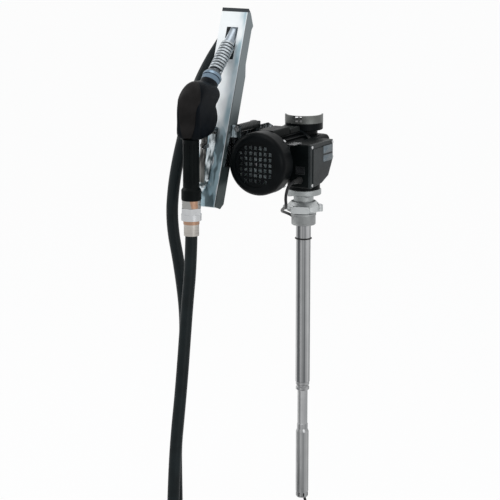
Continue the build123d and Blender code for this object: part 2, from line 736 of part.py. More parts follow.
def pump_body():
    """Cast head with the vane chamber, both ports, the seal's seat and the bypass bore."""
    outline = Rectangle(2 * HEAD_HALF_W, HEAD_TOP - HEAD_BOTTOM)
    outline = fillet(outline.vertices(), HEAD_ROUND)
    mid = (HEAD_TOP + HEAD_BOTTOM) / 2
    body = along_y(Pos(0, 0, HEAD_Y0) * extrude(outline, HEAD_Y1 - HEAD_Y0), 0, mid)
    body += disc(FLANGE_R - 3, FLANGE_TOP, HEAD_BOTTOM + 1)
    chamber = disc(CHAMBER_R, CHAMBER_Y0, HEAD_Y1 + 1)
    body -= along_y(chamber, CHAMBER_SHIFT)
    body -= disc(PORT_R, FLANGE_TOP - 1, AXIS_Z - CHAMBER_R + 8)
    body -= disc(PORT_R, AXIS_Z + CHAMBER_R - 8, HEAD_TOP + 1)
    body -= along_y(disc(SHAFT_R + SHAFT_GAP, HEAD_Y0 - 1, CHAMBER_Y0 + 1))
    body -= along_y(disc(SEAL_R, HEAD_Y0 - 1, HEAD_Y0 + SEAL_W))
    body -= along_x(disc(BYPASS_R, -HEAD_HALF_W - 1, BYPASS_END), 0, AXIS_Z)
    holes = PolarLocations(FLANGE_BOLT_CIRCLE, 4, 45)
    body -= holes * disc(BOLT_R, FLANGE_TOP - 1, FLANGE_TOP + 14)
    for x, z in end_cover_holes():
        body -= along_y(disc(BOLT_R, HEAD_Y1 - 12, HEAD_Y1 + 1), x, z)
    for y, z in bracket_spots():
        depth = -HEAD_HALF_W + BRACKET_SCREW_DEPTH
        body -= along_x(disc(BOLT_R, -HEAD_HALF_W - 1, depth), y, z)
    return body


def end_cover_holes():
    """Where the end cover's screws stand: (x, height)."""
    x = HEAD_HALF_W - HEAD_ROUND * 0.75
    return [(sx * x, z) for sx in (-1, 1) for z in (HEAD_BOTTOM + 11, HEAD_TOP - 11)]


def pump_end_cover():
    """Plate that closes the vane chamber, with a raised round boss."""
    outline = Rectangle(
        2 * (HEAD_HALF_W - END_COVER_INSET), HEAD_TOP - HEAD_BOTTOM - 2 * END_COVER_INSET
    )
    outline = fillet(outline.vertices(), HEAD_ROUND - END_COVER_INSET)
    mid = (HEAD_TOP + HEAD_BOTTOM) / 2
    plate = along_y(Pos(0, 0, HEAD_Y1) * extrude(outline, END_COVER_T - 6), 0, mid)
    boss = disc(CHAMBER_R + 4, HEAD_Y1 + 2, END_Y)
    boss = chamfer(boss.edges().group_by(Axis.Z)[-1], 3)
    plate += along_y(boss, CHAMBER_SHIFT)
    for x, z in end_cover_holes():
        plate -= along_y(disc(BOLT_R + SHAFT_GAP, HEAD_Y1 - 1, END_Y), x, z)
    return plate


def rotor_slots():
    """The rotor's slots, as one cutter on Z."""
    slot = block(ROTOR_R - VANE_H, ROTOR_R + 1, -VANE_T / 2, VANE_T / 2, -200, 200)
    return PolarLocations(0, VANES, 18) * slot


def pump_rotor():
    """Slotted rotor on the shaft's end."""
    rotor = pipe(ROTOR_R, SHAFT_R, CHAMBER_Y0 + 0.3, HEAD_Y1 - 0.3)
    return along_y(rotor - rotor_slots())


def vanes():
    """Five sliding vanes, drawn in their slots."""
    reach = ROTOR_R - 0.05
    y0 = CHAMBER_Y0 + 0.4
    y1 = HEAD_Y1 - 0.4
    vane = block(ROTOR_R - VANE_H + 0.4, reach, -VANE_T / 2, VANE_T / 2, y0, y1)
    return solids_of([along_y(v) for v in PolarLocations(0, VANES, 18) * vane])


def bypass_poppet():
    """Disc of the bypass valve, guided by its rim in the bore."""
    shut = BYPASS_END - 0.3
    poppet = disc(BYPASS_R - SHAFT_GAP, shut - POPPET_T, shut)
    return along_x(poppet)


def bypass_spring():
    """Spring that holds the bypass shut."""
    length = HEAD_HALF_W + BYPASS_END - 0.6 - POPPET_T - 1.5 - 2 * SPRING_WIRE
    coil = Helix(length / SPRING_TURNS, length, SPRING_R)
    wire = sweep((Plane(coil @ 0, z_dir=coil % 0)) * RegularPolygon(SPRING_WIRE, 6), path=coil)
    start = -HEAD_HALF_W + 1.5 + SPRING_WIRE
    return along_x(Pos(0, 0, start) * wire)


def bypass_cap():
    """Hexagon cap that closes the bypass bore and carries the spring."""
    cap = disc(BYPASS_R, -HEAD_HALF_W, -HEAD_HALF_W + 1.5)
    head = Pos(0, 0, -HEAD_HALF_W - BYPASS_CAP_T) * extrude(
        RegularPolygon(BYPASS_CAP_R, 6), BYPASS_CAP_T
    )
    return along_x(cap + head)


# Outlet


def outlet_frame():
    """Plane across the outlet elbow's leg, and the point where its two legs meet."""
    away = Vector(0, 1, 0).rotate(Axis.Z, OUTLET_TURN)
    corner = away * ELBOW_REACH + Vector(0, 0, ELBOW_Z)
    side = Vector(-1, 0, 0).rotate(Axis.Z, OUTLET_TURN)
    dip = radians(OUTLET_DIP)
    leg = side * cos(dip) - Vector(0, 0, sin(dip))
    return away, corner, leg


def outlet_head():
    """Round head on top of the pump, with its rear boss for the elbow."""
    band = HEAD_TOP + OUTLET_NECK_H
    head = disc(OUTLET_NECK_R, HEAD_TOP, band)
    rim = disc(OUTLET_BAND_R, band, OUTLET_TOP)
    head += chamfer(rim.edges().group_by(Axis.Z)[0], 1.5)
    away, corner, _ = outlet_frame()
    across = Plane(origin=(0, 0, ELBOW_Z), z_dir=away)
    head += across * extrude(Circle(ELBOW_R - 1.5), OUTLET_BAND_R + BOSS_OUT)
    bore = across * extrude(Circle(ELBOW_BORE_R), 100)
    head -= bore + disc(PORT_R, HEAD_TOP - 1, ELBOW_Z)
    return head


def outlet_ring():
    """Open metal ring with the window near its top edge, and the latch bar in it."""
    top = OUTLET_TOP + RING_H
    inner = OUTLET_BAND_R - RING_WALL
    ring = pipe(OUTLET_BAND_R + FIT_GAP, inner, OUTLET_TOP, top)
    window = block(
        -WINDOW_W / 2, WINDOW_W / 2, -OUTLET_BAND_R - 5, 0,
        top - WINDOW_DROP - WINDOW_H, top - WINDOW_DROP,
    )
    bar = block(-2, 2, FIT_GAP - inner, 3 - inner, OUTLET_TOP, top - 3)
    foot = block(-5, 5, 2 - inner, 8 - inner, OUTLET_TOP, OUTLET_TOP + 2)
    turn = Rot(0, 0, WINDOW_TURN)
    reach = OUTLET_BAND_R + 5
    back = block(-reach, reach, RING_BACK, reach, OUTLET_TOP + RING_BASE, top + 1)
    ring -= Rot(0, 0, OUTLET_TURN) * back + turn * window
    return solids_of([ring, turn * (bar + foot)])


def outlet_elbow():
    """Elbow from the head's boss, turned down and to the left, and the hose's ferrule."""
    away, corner, leg = outlet_frame()
    start = away * (OUTLET_BAND_R + BOSS_OUT) + Vector(0, 0, ELBOW_Z)
    end = corner + leg * ELBOW_LEG
    line = FilletPolyline(start, corner, end, radius=ELBOW_R)
    outer = sweep(Plane(line @ 0, z_dir=line % 0) * Circle(ELBOW_R - 2), path=line)
    inner = sweep(Plane(line @ 0, z_dir=line % 0) * Circle(ELBOW_BORE_R), path=line)
    collar = Plane(origin=start, z_dir=away) * extrude(RegularPolygon(ELBOW_R + 1, 6), 9)
    shell = extrude(Circle(FERRULE_R), FERRULE_L)
    shell -= Pos(0, 0, FERRULE_L / 2) * extrude(Circle(HOSE_D / 2), FERRULE_L)
    shell -= Pos(0, 0, -1) * extrude(Circle(ELBOW_BORE_R), FERRULE_L)
    for step in (0.3, 0.5, 0.7):
        groove = Cylinder(FERRULE_R + 2, 2) - Cylinder(FERRULE_R - 1, 2)
        shell -= Pos(0, 0, FERRULE_L * step) * groove
    ferrule = Plane(origin=end, z_dir=leg) * shell
    return solids_of([(outer + collar) - inner, ferrule])


# Terminal box


def box_outline(inset=0.0):
    """Side outline of the terminal box, in (y, height), tapered at its lower rear."""
    y0, y1 = BOX_Y0 + inset, BOX_Y1 - inset
    z0, z1 = BOX_Z0 + inset, BOX_Z1 - inset
    points = [
        (y0, z0), (y0, z1), (y1, z1), (y1, z0 + BOX_TAPER_Z),
        (y1 - BOX_TAPER_Y * 0.4, z0 + BOX_TAPER_Z * 0.35), (y1 - BOX_TAPER_Y, z0 + 6),
    ]
    outline = make_face(Polyline(*points, close=True))
    return outline


def box_slab(x0, x1, inset=0.0):
    """The box's outline as a slab between two values of x."""
    plane = Plane(origin=(x0, 0, 0), x_dir=(0, 1, 0), z_dir=(1, 0, 0))
    return plane * extrude(box_outline(inset), x1 - x0)


def box_saddle(grow):
    """Room that the motor and the pump head take from the box's back, grown by a wall."""
    room = along_y(disc(FRAME_R + grow, BOX_Y0 - 5, BOX_Y1 + 5))
    room += along_y(disc(FRAME_R + FIN_H + grow, FRAME_Y1 - grow, BOX_Y1 + 5))
    room += block(0, HEAD_HALF_W + grow, HEAD_Y0 - grow, BOX_Y1 + 5, BOX_Z0 - 5, BOX_Z1 + 5)
    return room


def terminal_box():
    """Box on the motor's side: hollow, saddle-backed, with the switch and gland holes."""
    body = box_slab(BOX_X0, BOX_X1)
    body = fillet(body.edges().filter_by(Axis.X).group_by(Axis.Y)[0], 4)
    skin = box_saddle(BOX_WALL)
    body -= box_saddle(0)
    body -= box_slab(BOX_X0 + BOX_WALL, BOX_X1 + 1, BOX_WALL) - skin
    for y, z in lid_screw_spots():
        post = along_x(disc(5, BOX_X0 + BOX_WALL, BOX_X1), y, z)
        body += (post & box_slab(BOX_X0, BOX_X1)) - skin
        body -= along_x(disc(SCREW_R, BOX_X1 - 12, BOX_X1 + 1), y, z)
    recess = block(
        SWITCH_X - SWITCH_W / 2, SWITCH_X + SWITCH_W / 2, BOX_Y0 - 1, BOX_Y0 + 20,
        SWITCH_Z - SWITCH_H / 2, SWITCH_Z + SWITCH_H / 2,
    )
    body -= recess
    body -= along_y(disc(GLAND_R - 2, BOX_Y0 - 1, BOX_Y0 + 9), GLAND_X, GLAND_Z)
    return body


def lid_screw_spots():
    """Where the lid's screws stand: (y, height)."""
    margin = 6.0
    low = BOX_Z0 + BOX_TAPER_Z
    return [
        (BOX_Y0 + margin, BOX_Z0 + margin + 2), (BOX_Y0 + margin, BOX_Z1 - margin),
        (BOX_Y1 - margin, BOX_Z1 - margin), (BOX_Y1 - margin, low + margin),
    ]


def terminal_lid():
    """Lid of the terminal box, with a softened front edge and a raised middle."""
    lid = box_slab(BOX_X1, LID_X - 2)
    lid = fillet(lid.edges().group_by(Axis.X)[-1], 2)
    lid += box_slab(BOX_X1 + 1, LID_X, 11)
    for y, z in lid_screw_spots():
        lid -= along_x(disc(SCREW_R + SHAFT_GAP, BOX_X1 - 1, LID_X + 1), y, z)
    return lid


def switch_frame():
    """Frame of the mains switch, pushed into the box's front."""
    outer = block(
        SWITCH_X - SWITCH_W / 2, SWITCH_X + SWITCH_W / 2, BOX_Y0 - 1, BOX_Y0 + 12,
        SWITCH_Z - SWITCH_H / 2, SWITCH_Z + SWITCH_H / 2,
    )
    half_w = ROCKER_W / 2 + ROCKER_GAP
    half_h = ROCKER_H / 2 + ROCKER_GAP
    hollow = block(
        SWITCH_X - half_w, SWITCH_X + half_w, BOX_Y0 - 2, BOX_Y0 + 10,
        SWITCH_Z - half_h, SWITCH_Z + half_h,
    )
    pin = Pos(SWITCH_X, BOX_Y0 + 5, SWITCH_Z) * Cylinder(1.5, SWITCH_H)
    return outer - hollow - pin


def switch_rocker():
    """Rocker of the switch with its pivots, pressed at the off side."""
    profile = [
        (-ROCKER_W / 2, -4.5), (ROCKER_W / 2, -4.5), (ROCKER_W / 2 - 1.4, 2.5),
        (-ROCKER_W / 2 + 1.4, 2.5),
    ]
    face = make_face(Polyline(*profile, close=True))
    rocker = Pos(0, 0, -ROCKER_H / 2) * extrude(face, ROCKER_H)
    dish = Pos(0, -4.5 - 26, 0) * Cylinder(27.0, ROCKER_H + 2)
    rocker -= dish
    rocker += Cylinder(1.5 - SHAFT_GAP, SWITCH_H - 0.4)
    return Pos(SWITCH_X, BOX_Y0 + 5, SWITCH_Z) * Rot(0, 0, -ROCKER_TILT) * rocker


def cable_gland():
    """Gland of the mains lead, with its hexagon and the tapered boot on the lead."""
    nut = Pos(0, 0, BOX_Y0 - 5) * extrude(RegularPolygon(GLAND_R + 1.5, 6), 5)
    body = disc(GLAND_R - 1, BOX_Y0 - GLAND_L, BOX_Y0 - 4) + disc(GLAND_R - 2, BOX_Y0, BOX_Y0 + 8)
    gland = nut + body
    gland -= disc(LEAD_D / 2, BOX_Y0 - GLAND_L - 1, BOX_Y0 + 9)
    end = BOX_Y0 - GLAND_L
    cone = Pos(0, 0, end - BOOT_L / 2) * Cone(LEAD_D / 2 + 1, GLAND_R - 1.5, BOOT_L)
    boot = cone + disc(LEAD_D / 2, end - 1, end + 6)
    return solids_of([along_y(gland, GLAND_X, GLAND_Z), along_y(boot, GLAND_X, GLAND_Z)])


def box_strap():
    """Zinc strap over the box's front corner, folded down at its end."""
    x0, y0 = BOX_X0 + STRAP_IN, BOX_Y0 - STRAP_OUT
    top = BOX_Z1 + STRAP_T
    plate = block(x0, x0 + STRAP_W, y0, BOX_Y0 + STRAP_OVER, BOX_Z1, top)
    tab = block(x0, x0 + STRAP_TAB_W, y0, y0 + STRAP_T, BOX_Z1 - STRAP_TAB_H, top)
    return plate + tab


# Nozzle holder and its bracket


def holder_plane():
    """Plane of the holder's face: x across, y up the face, z out of the face."""
    up = Vector(0, sin(radians(HOLDER_LEAN)), cos(radians(HOLDER_LEAN)))
    out = Vector(1, 0, 0).cross(up)
    return Plane(origin=(HOLDER_X, HOLDER_BASE_Y, HOLDER_BASE_Z), x_dir=(1, 0, 0), z_dir=out)


def nozzle_holder():
    """Folded steel channel: face with the nozzle's slot, two flanges, a lip at the foot."""
    half = HOLDER_W / 2
    face = Pos(0, HOLDER_L / 2, -HOLDER_T / 2) * Box(HOLDER_W, HOLDER_L, HOLDER_T)
    side = [
        (0, 0), (0, HOLDER_L), (-HOLDER_DEPTH * 0.35, HOLDER_L - 8),
        (-HOLDER_DEPTH * 0.9, HOLDER_L - 34), (-HOLDER_DEPTH * 0.78, HOLDER_L - 44),
        (-HOLDER_DEPTH * 0.78, HOLDER_L - 128), (-HOLDER_DEPTH, HOLDER_L - 156),
        (-HOLDER_DEPTH, 14), (-HOLDER_DEPTH + 12, 0),
    ]
    outline = make_face(Polyline(*side, close=True))
    for x1 in (HOLDER_T - half, half):
        flank = Plane(origin=(x1, 0, 0), x_dir=(0, 0, 1), z_dir=(-1, 0, 0))
        face += flank * extrude(outline, HOLDER_T)
    face += block(-half, half, 0, HOLDER_T, -LIP_H, 0)
    slot = block(-SLOT_W / 2, SLOT_W / 2, SLOT_LOW, SLOT_HIGH, -5, 5)
    face -= fillet(slot.edges().filter_by(Axis.Z), 1.5)
    holder = holder_plane() * face
    for y, z in flange_spots():
        holder -= along_x(disc(BOLT_R, bracket_x()[0] - 4, bracket_x()[0] + 1), y, z)
    return holder


def bracket_x():
    """Left and right faces of the bracket plate."""
    left = HOLDER_X + HOLDER_W / 2
    return left, left + BRACKET_T


def holder_bracket():
    """Plate from the pump head along the motor to the holder's right flange."""
    x0, x1 = bracket_x()
    lean = tan(radians(HOLDER_LEAN))
    top = BRACKET_ARM_Z + BRACKET_ARM_H / 2
    low = BRACKET_ARM_Z - BRACKET_ARM_H / 2
    foot = low - BRACKET_FOOT

    end = BRACKET_END_Y
    drop = low - BRACKET_END_DROP

    def edge(z):
        return HOLDER_BASE_Y + (z - HOLDER_BASE_Z) * lean + 8

    points = [
        (edge(foot), foot), (edge(top), top), (end - 26, top), (end, top - 12),
        (end, drop), (end - BRACKET_END_W, drop), (end - BRACKET_END_W - 20, low),
        (edge(low) + 26, low), (edge(foot) + 20, foot),
    ]
    outline = make_face(Polyline(*points, close=True))
    plane = Plane(origin=(x0, 0, 0), x_dir=(0, 1, 0), z_dir=(1, 0, 0))
    plate = plane * extrude(outline, BRACKET_T)
    tab_top = STUD_Z + STUD_R - 2
    for y in (STUD_Y0 - BRACKET_T, STUD_Y1):
        tab = block(x0, x1 + 2 * STUD_R, y, y + BRACKET_T, top - 14, tab_top)
        tab -= along_y(disc(STUD_BOLT_R, y - 1, y + 5), x1 + STUD_R, STUD_Z)
        plate += tab
        plate += block(x0, x1, y - 6, y + 9, top - 16, tab_top)
    for y, z in bracket_spots():
        plate -= along_x(disc(BOLT_R, x0 - 1, x1 + 1), y, z)
    for y, z in flange_spots():
        plate -= along_x(disc(BOLT_R, x0 - 1, x1 + 1), y, z)
    return plate


def bracket_spots():
    """Where the bracket is bolted to the pump head: (y, height)."""
    top = BRACKET_ARM_Z - BRACKET_SCREW_LOW
    return [(BRACKET_SCREW_Y, top), (BRACKET_SCREW_Y, top - BRACKET_SCREW_PITCH)]


def flange_spots():
    """Where the bracket is bolted to the holder's flange: (y, height)."""
    lean = tan(radians(HOLDER_LEAN))
    top = BRACKET_ARM_Z + FLANGE_SCREW_UP
    base = HOLDER_BASE_Y + FLANGE_SCREW_IN
    heights = (top, top - FLANGE_SCREW_PITCH)
    return [(base + (z - HOLDER_BASE_Z) * lean, z) for z in heights]


def bracket_hardware():
    """Two spacers and screws at the pump head, two screws from inside the holder's flange."""
    x0, x1 = bracket_x()
    pieces = []
    for y, z in bracket_spots():
        pieces.append(along_x(pipe(SPACER_R, BOLT_R, x1, -HEAD_HALF_W), y, z))
        reach = BRACKET_SCREW_DEPTH - HEAD_HALF_W - x0
        bolt = Pos(0, 0, x0) * Rot(180, 0, 0)
        bolt = bolt * hex_screw(BOLT_R, reach - 0.5, BOLT_HEAD_R, BOLT_HEAD_H)
        pieces.append(along_x(bolt, y, z))
    for y, z in flange_spots():
        bolt = Pos(0, 0, x0 - HOLDER_T) * Rot(180, 0, 0)
        bolt = bolt * hex_screw(BOLT_R, BRACKET_T + HOLDER_T, BOLT_HEAD_R, BOLT_HEAD_H)
        pieces.append(along_x(bolt, y, z))
    y0 = STUD_Y0 - BRACKET_T
    y1 = STUD_Y1 + BRACKET_T
    rod = disc(STUD_BOLT_R, y0 - 4, y1 + 4) + disc(STUD_BOLT_R + 3, y0 - 4, y0)
    rod += disc(STUD_BOLT_R + 3, y1, y1 + 4)
    pieces.append(along_y(rod, x1 + STUD_R, STUD_Z))
    return solids_of(pieces)


def ribbed_stud():
    """Ribbed rubber buffer that lies beside the bracket, on its bolt."""
    stud = pipe(STUD_R - 1, STUD_BOLT_R, STUD_Y0, STUD_Y1)
    step = (STUD_Y1 - STUD_Y0) / 12
    for index in range(12):
        z0 = STUD_Y0 + index * step
        stud += pipe(STUD_R, STUD_BOLT_R, z0, z0 + step * 0.55)
    return along_y(stud, bracket_x()[1] + STUD_R, STUD_Z)


# Nozzle


def spout_plane():
    """Plane across the spout at its root: z runs along the spout."""
    lean = radians(SPOUT_LEAN)
    along = Vector(0, sin(lean), cos(lean))
    return Plane(origin=(HOLDER_X, SPOUT_ROOT_Y, SPOUT_ROOT_Z), x_dir=(1, 0, 0), z_dir=along)


def side_solid(points, half_width):
    """A solid with a side outline in (y, height), centred on the nozzle's plane."""
    face = make_face(Polyline(*points, close=True))
    plane = Plane(origin=(HOLDER_X - half_width, 0, 0), x_dir=(0, 1, 0), z_dir=(1, 0, 0))
    return plane * extrude(face, 2 * half_width)


# Side outline of the nozzle's body, as shares of its depth and height from the grip's top
BODY_OUTLINE = [
    (-0.1667, 0.0135), (-0.1042, 0.6622), (0.0833, 0.8784), (0.3750, 1.0000),
    (0.5833, 0.9865), (0.8333, 0.7973), (0.7083, 0.6081), (0.6250, 0.4324),
    (0.6667, 0.2432), (0.6875, 0.1081), (0.5625, 0.0135), (0.2083, 0.0000),
]


def body_points():
    """Side outline of the nozzle's body, in (y, height)."""
    return [(GRIP_Y + BODY_D * y, GRIP_TOP + BODY_H * z) for y, z in BODY_OUTLINE]


def nozzle_body():
    """Valve body of the automatic nozzle: moulded shell with a belly over the lever."""
    body = side_solid(body_points(), NOZZLE_HALF_W)
    long_edges = [e for e in body.edges() if abs(e.tangent_at(0.5).X) < 0.1]
    body = fillet(long_edges, BODY_ROUND)
    root = spout_plane() * extrude(Circle(SPOUT_COLLAR_R - 3), -34)
    body += root
    grip = Pos(HOLDER_X, GRIP_Y, 0) * disc(GRIP_R, GRIP_TOP - 2, GRIP_TOP + 8)
    body += grip
    body -= Pos(HOLDER_X, LEVER_PIVOT_Y, LEVER_PIVOT_Z) * Box(LEVER_W + 2, 24, 26)
    pin = Pos(HOLDER_X, LEVER_PIVOT_Y, LEVER_PIVOT_Z) * Rot(0, 90, 0)
    body -= pin * Cylinder(LEVER_PIN_R + SHAFT_GAP, 2 * NOZZLE_HALF_W + 2)
    return body


def nozzle_cover():
    """Raised shield-shaped cover on the nozzle's front."""
    half = SHIELD_W / 2
    points = [
        (-half, 0), (-half * 0.9, -SHIELD_H * 0.34), (-half * 0.74, -SHIELD_H * 0.82),
        (0, -SHIELD_H), (half * 0.74, -SHIELD_H * 0.82), (half * 0.9, -SHIELD_H * 0.34),
        (half, 0),
    ]
    shield = make_face(Polyline(*points, close=True))
    shield = fillet(shield.vertices(), SHIELD_W / 9)
    (low_y, low_z), (top_y, top_z) = body_points()[:2]
    out = (0, low_z - top_z, top_y - low_y)
    plane = Plane(origin=(HOLDER_X, top_y, top_z), x_dir=(1, 0, 0), z_dir=out)
    low = plane * extrude(shield, NOZZLE_COVER_T)
    return chamfer(low.faces().sort_by(Axis.Y)[0].edges(), 1.5)


def grip_sleeve():
    """Fluted grip round the handle's tube, with the wider cuff at its lower end."""
    bore = SWIVEL_TAIL_R - 4
    grip = pipe(GRIP_R, bore, GRIP_BOTTOM, GRIP_TOP - 2)
    flute_l = (GRIP_TOP - GRIP_BOTTOM) * 0.8
    flute = Pos(GRIP_R + 1.2, 0, (GRIP_BOTTOM + GRIP_TOP) / 2) * Cylinder(2.6, flute_l)
    grip -= PolarLocations(0, GRIP_FLUTES) * flute
    profile = [
        (bore, CUFF_BOTTOM), (CUFF_R - 1, CUFF_BOTTOM), (CUFF_R, CUFF_BOTTOM + 3),
        (CUFF_R, GRIP_BOTTOM - 6), (GRIP_R, GRIP_BOTTOM), (bore, GRIP_BOTTOM),
    ]
    return Pos(HOLDER_X, GRIP_Y, 0) * (grip + turned(profile))


def handle_tube():
    """Turned metal tube of the handle: in the grip, the ring, the swivel's tail, the band."""
    radius = SWIVEL_TAIL_R - 4
    ring_low = CUFF_BOTTOM - SWIVEL_RING_H
    nut_low = ring_low - SWIVEL_NUT_H
    profile = [
        (radius - 3, GRIP_TOP - 2), (radius, GRIP_TOP - 2), (radius, CUFF_BOTTOM),
        (SWIVEL_RING_R, CUFF_BOTTOM), (SWIVEL_RING_R, ring_low + 11),
        (SWIVEL_RING_R - 0.8, ring_low + 11), (SWIVEL_RING_R - 0.8, ring_low + 8),
        (SWIVEL_RING_R, ring_low + 8), (SWIVEL_RING_R, ring_low), (SWIVEL_TAIL_R, ring_low),
        (SWIVEL_TAIL_R, nut_low), (BAND_R, nut_low), (BAND_R, nut_low - BAND_H),
        (radius - 3, nut_low - BAND_H),
    ]
    return Pos(HOLDER_X, GRIP_Y, 0) * turned(profile)


def spout():
    """Spout tube, through the holder's slot, with its tapered collar and its sized tip."""
    tube = extrude(Circle(SPOUT_R), SPOUT_LENGTH - SPOUT_TIP_L)
    tube += extrude(Circle(SPOUT_TIP_R), SPOUT_LENGTH)
    tube = chamfer(tube.edges().group_by(Axis.Z)[-1], 2)
    profile = [
        (0, 0), (SPOUT_COLLAR_R, 0), (SPOUT_COLLAR_R, 6), (SPOUT_R + 5, SPOUT_COLLAR_L),
        (0, SPOUT_COLLAR_L),
    ]
    tube += turned(profile)
    tube -= Pos(0, 0, 20) * extrude(Circle(SPOUT_BORE_R), SPOUT_LENGTH)
    return spout_plane() * tube


def spout_wire():
    """Wire guard wound round the spout, drawn as closed rings that touch it."""
    ring = Plane.XZ * Pos(SPOUT_R + SPOUT_WIRE_R, 0) * RegularPolygon(SPOUT_WIRE_R, 6)
    ring = revolve(ring, Axis.Z, 360)
    start = SPOUT_COLLAR_L + SPOUT_WIRE_R
    plane = spout_plane()
    turns = range(SPOUT_COILS)
    return solids_of([plane * (Pos(0, 0, start + i * SPOUT_COIL_PITCH) * ring) for i in turns])


def trigger_lever():
    """Bent strip lever with its pin in the body and the clip's boss under it."""
    y, z = LEVER_PIVOT_Y, LEVER_PIVOT_Z
    points = [
        (y - 3, z + 5), (y + 5, z + 2), (y + 4, z - LEVER_NECK), (y - 8, z - LEVER_KNEE),
        (y - 12, z - LEVER_L), (y - 15, z - LEVER_L + 0.5), (y - 11, z - LEVER_KNEE),
        (y, z - LEVER_NECK - 2),
    ]
    lever = side_solid(points, LEVER_W / 2)
    across = Rot(0, 90, 0)
    lever += Pos(HOLDER_X, y, z) * across * Cylinder(LEVER_PIN_R + 3, LEVER_W)
    lever += Pos(HOLDER_X, y, z) * across * Cylinder(LEVER_PIN_R, 2 * NOZZLE_HALF_W - 1)
    clip_y, clip_z = clip_pivot()
    lever += Pos(HOLDER_X, clip_y, clip_z) * across * Cylinder(4.5, LEVER_W)
    return lever - Pos(HOLDER_X, clip_y, clip_z) * across * Cylinder(2 + SHAFT_GAP, 40)


def clip_pivot():
    """Where the hold-open clip turns on the lever: (y, height)."""
    return LEVER_PIVOT_Y - 1.0, LEVER_PIVOT_Z - CLIP_DROP


def lever_guard():
    """Strip guard round the lever, from the body's belly to the cuff."""
    lean = tan(radians(HOLDER_LEAN))

    def face(z):
        return HOLDER_BASE_Y + (z - HOLDER_BASE_Z) * lean - GUARD_GAP

    gap = GUARD_T * 1.1
    top = LEVER_PIVOT_Z + GUARD_RISE
    low = GRIP_BOTTOM - GUARD_DROP
    knee = GRIP_Y + GUARD_REACH
    points = [
        (LEVER_PIVOT_Y, top), (face(top - 14), top - 14), (face(low + 24), low + 24),
        (knee, low), (GRIP_Y, low), (GRIP_Y, low + gap), (knee, low + gap),
        (face(low + 24) - gap, low + 26), (face(top - 18) - gap, top - 18),
        (LEVER_PIVOT_Y, top - gap),
    ]
    guard = side_solid(points, GUARD_W / 2)
    return guard - Pos(HOLDER_X, GRIP_Y, 0) * disc(CUFF_R, CUFF_BOTTOM, GRIP_TOP) - nozzle_body()


def hold_clip():
    """Hold-open clip on the lever's right side, on its own pin."""
    y, z = clip_pivot()
    x0 = LEVER_W / 2 + FIT_GAP
    arm = block(x0, x0 + 3, -24, 5, -5, 5)
    arm = fillet(arm.edges().filter_by(Axis.X), 4)
    arm += Rot(0, 90, 0) * Pos(0, 0, FIT_GAP) * Cylinder(2, LEVER_W + 4)
    return Pos(HOLDER_X, y, z) * arm


def swivel_nut():
    """Turning nut of the swivel: hexagon above, round below."""
    top = CUFF_BOTTOM - SWIVEL_RING_H - FIT_GAP
    low = top - SWIVEL_NUT_H + 2 * FIT_GAP
    mid = (top + low) / 2
    nut = Pos(0, 0, mid) * extrude(RegularPolygon(SWIVEL_NUT_R, 6), top - mid)
    nut += disc(SWIVEL_NUT_R - 1.5, low, mid)
    nut -= disc(SWIVEL_TAIL_R + SHAFT_GAP, low - 1, top + 1)
    return Pos(HOLDER_X, GRIP_Y, 0) * nut


def nozzle_ferrule():
    """Crimped ferrule of the hose under the swivel."""
    top = CUFF_BOTTOM - SWIVEL_RING_H - SWIVEL_NUT_H - BAND_H
    low = top - NOZZLE_FERRULE_L
    ferrule = disc(NOZZLE_FERRULE_R, low, top)
    step = NOZZLE_FERRULE_L / (NOZZLE_FERRULE_GROOVES + 1)
    for index in range(NOZZLE_FERRULE_GROOVES):
        z = low + step * (index + 1)
        ferrule -= pipe(NOZZLE_FERRULE_R + 1, NOZZLE_FERRULE_R - 0.8, z, z + 1.6)
    ferrule = Pos(HOLDER_X, GRIP_Y, 0) * ferrule
    start = Vector(*DELIVERY_ROUTE[0])
    along = Vector(*DELIVERY_ROUTE[1]) - start
    socket = Plane(origin=start, z_dir=along) * extrude(Circle(HOSE_D / 2), 60)
    return ferrule - socket


# Hose and lead


def arc_radii(points):
    """Radius of each arc of a cord's path: as large as its two runs allow."""
    radii = []
    for a, b, c in zip(points, points[1:], points[2:]):
        before = Vector(*b) - Vector(*a)
        after = Vector(*c) - Vector(*b)
        turn = before.get_angle(after)
        radii.append(0.45 * min(before.length, after.length) / tan(radians(turn / 2)))
    return radii


def cord_tube(points, diameter, name=""):
    """Tube of a cord along straight runs and tangent arcs."""
    radii = arc_radii(points)
    path = FilletPolyline(*points, radius=radii)
    tube = sweep(Plane(path @ 0, z_dir=path % 0) * Circle(diameter / 2), path=path)
    section = pi * diameter**2 / 4
    if name:
        print_lengths(name, radii, path.length, tube.volume / (section * path.length))
    return tube


def print_lengths(name, radii, length, ratio):
    """Print a cord's radii, its length and its volume over section times length."""
    print(name, "radii", [round(r) for r in radii], "length", round(length))
    print(name, "volume over section x length", round(ratio, 4))


def hose_coil():
    """Outer shape of the hose's coil: one turn that climbs over itself."""
    low = FLOOR_Z
    ring = pipe(HOSE_COIL_R + HOSE_D / 2, HOSE_COIL_R - HOSE_D / 2, low, low + 2 * HOSE_D)
    ring = Pos(HOSE_COIL_X, HOSE_COIL_Y, 0) * ring
    for route in (SUPPLY_ROUTE, DELIVERY_ROUTE):
        ring -= cord_tube(route, HOSE_D)
    return ring


def lead_coil():
    """Outer shape of the mains lead's coil."""
    half = LEAD_COIL_BAND / 2
    ring = pipe(LEAD_COIL_R + half, LEAD_COIL_R - half, FLOOR_Z, FLOOR_Z + LEAD_COIL_H)
    return Pos(LEAD_COIL_X, LEAD_COIL_Y, 0) * ring - cord_tube(LEAD_ROUTE, LEAD_D)


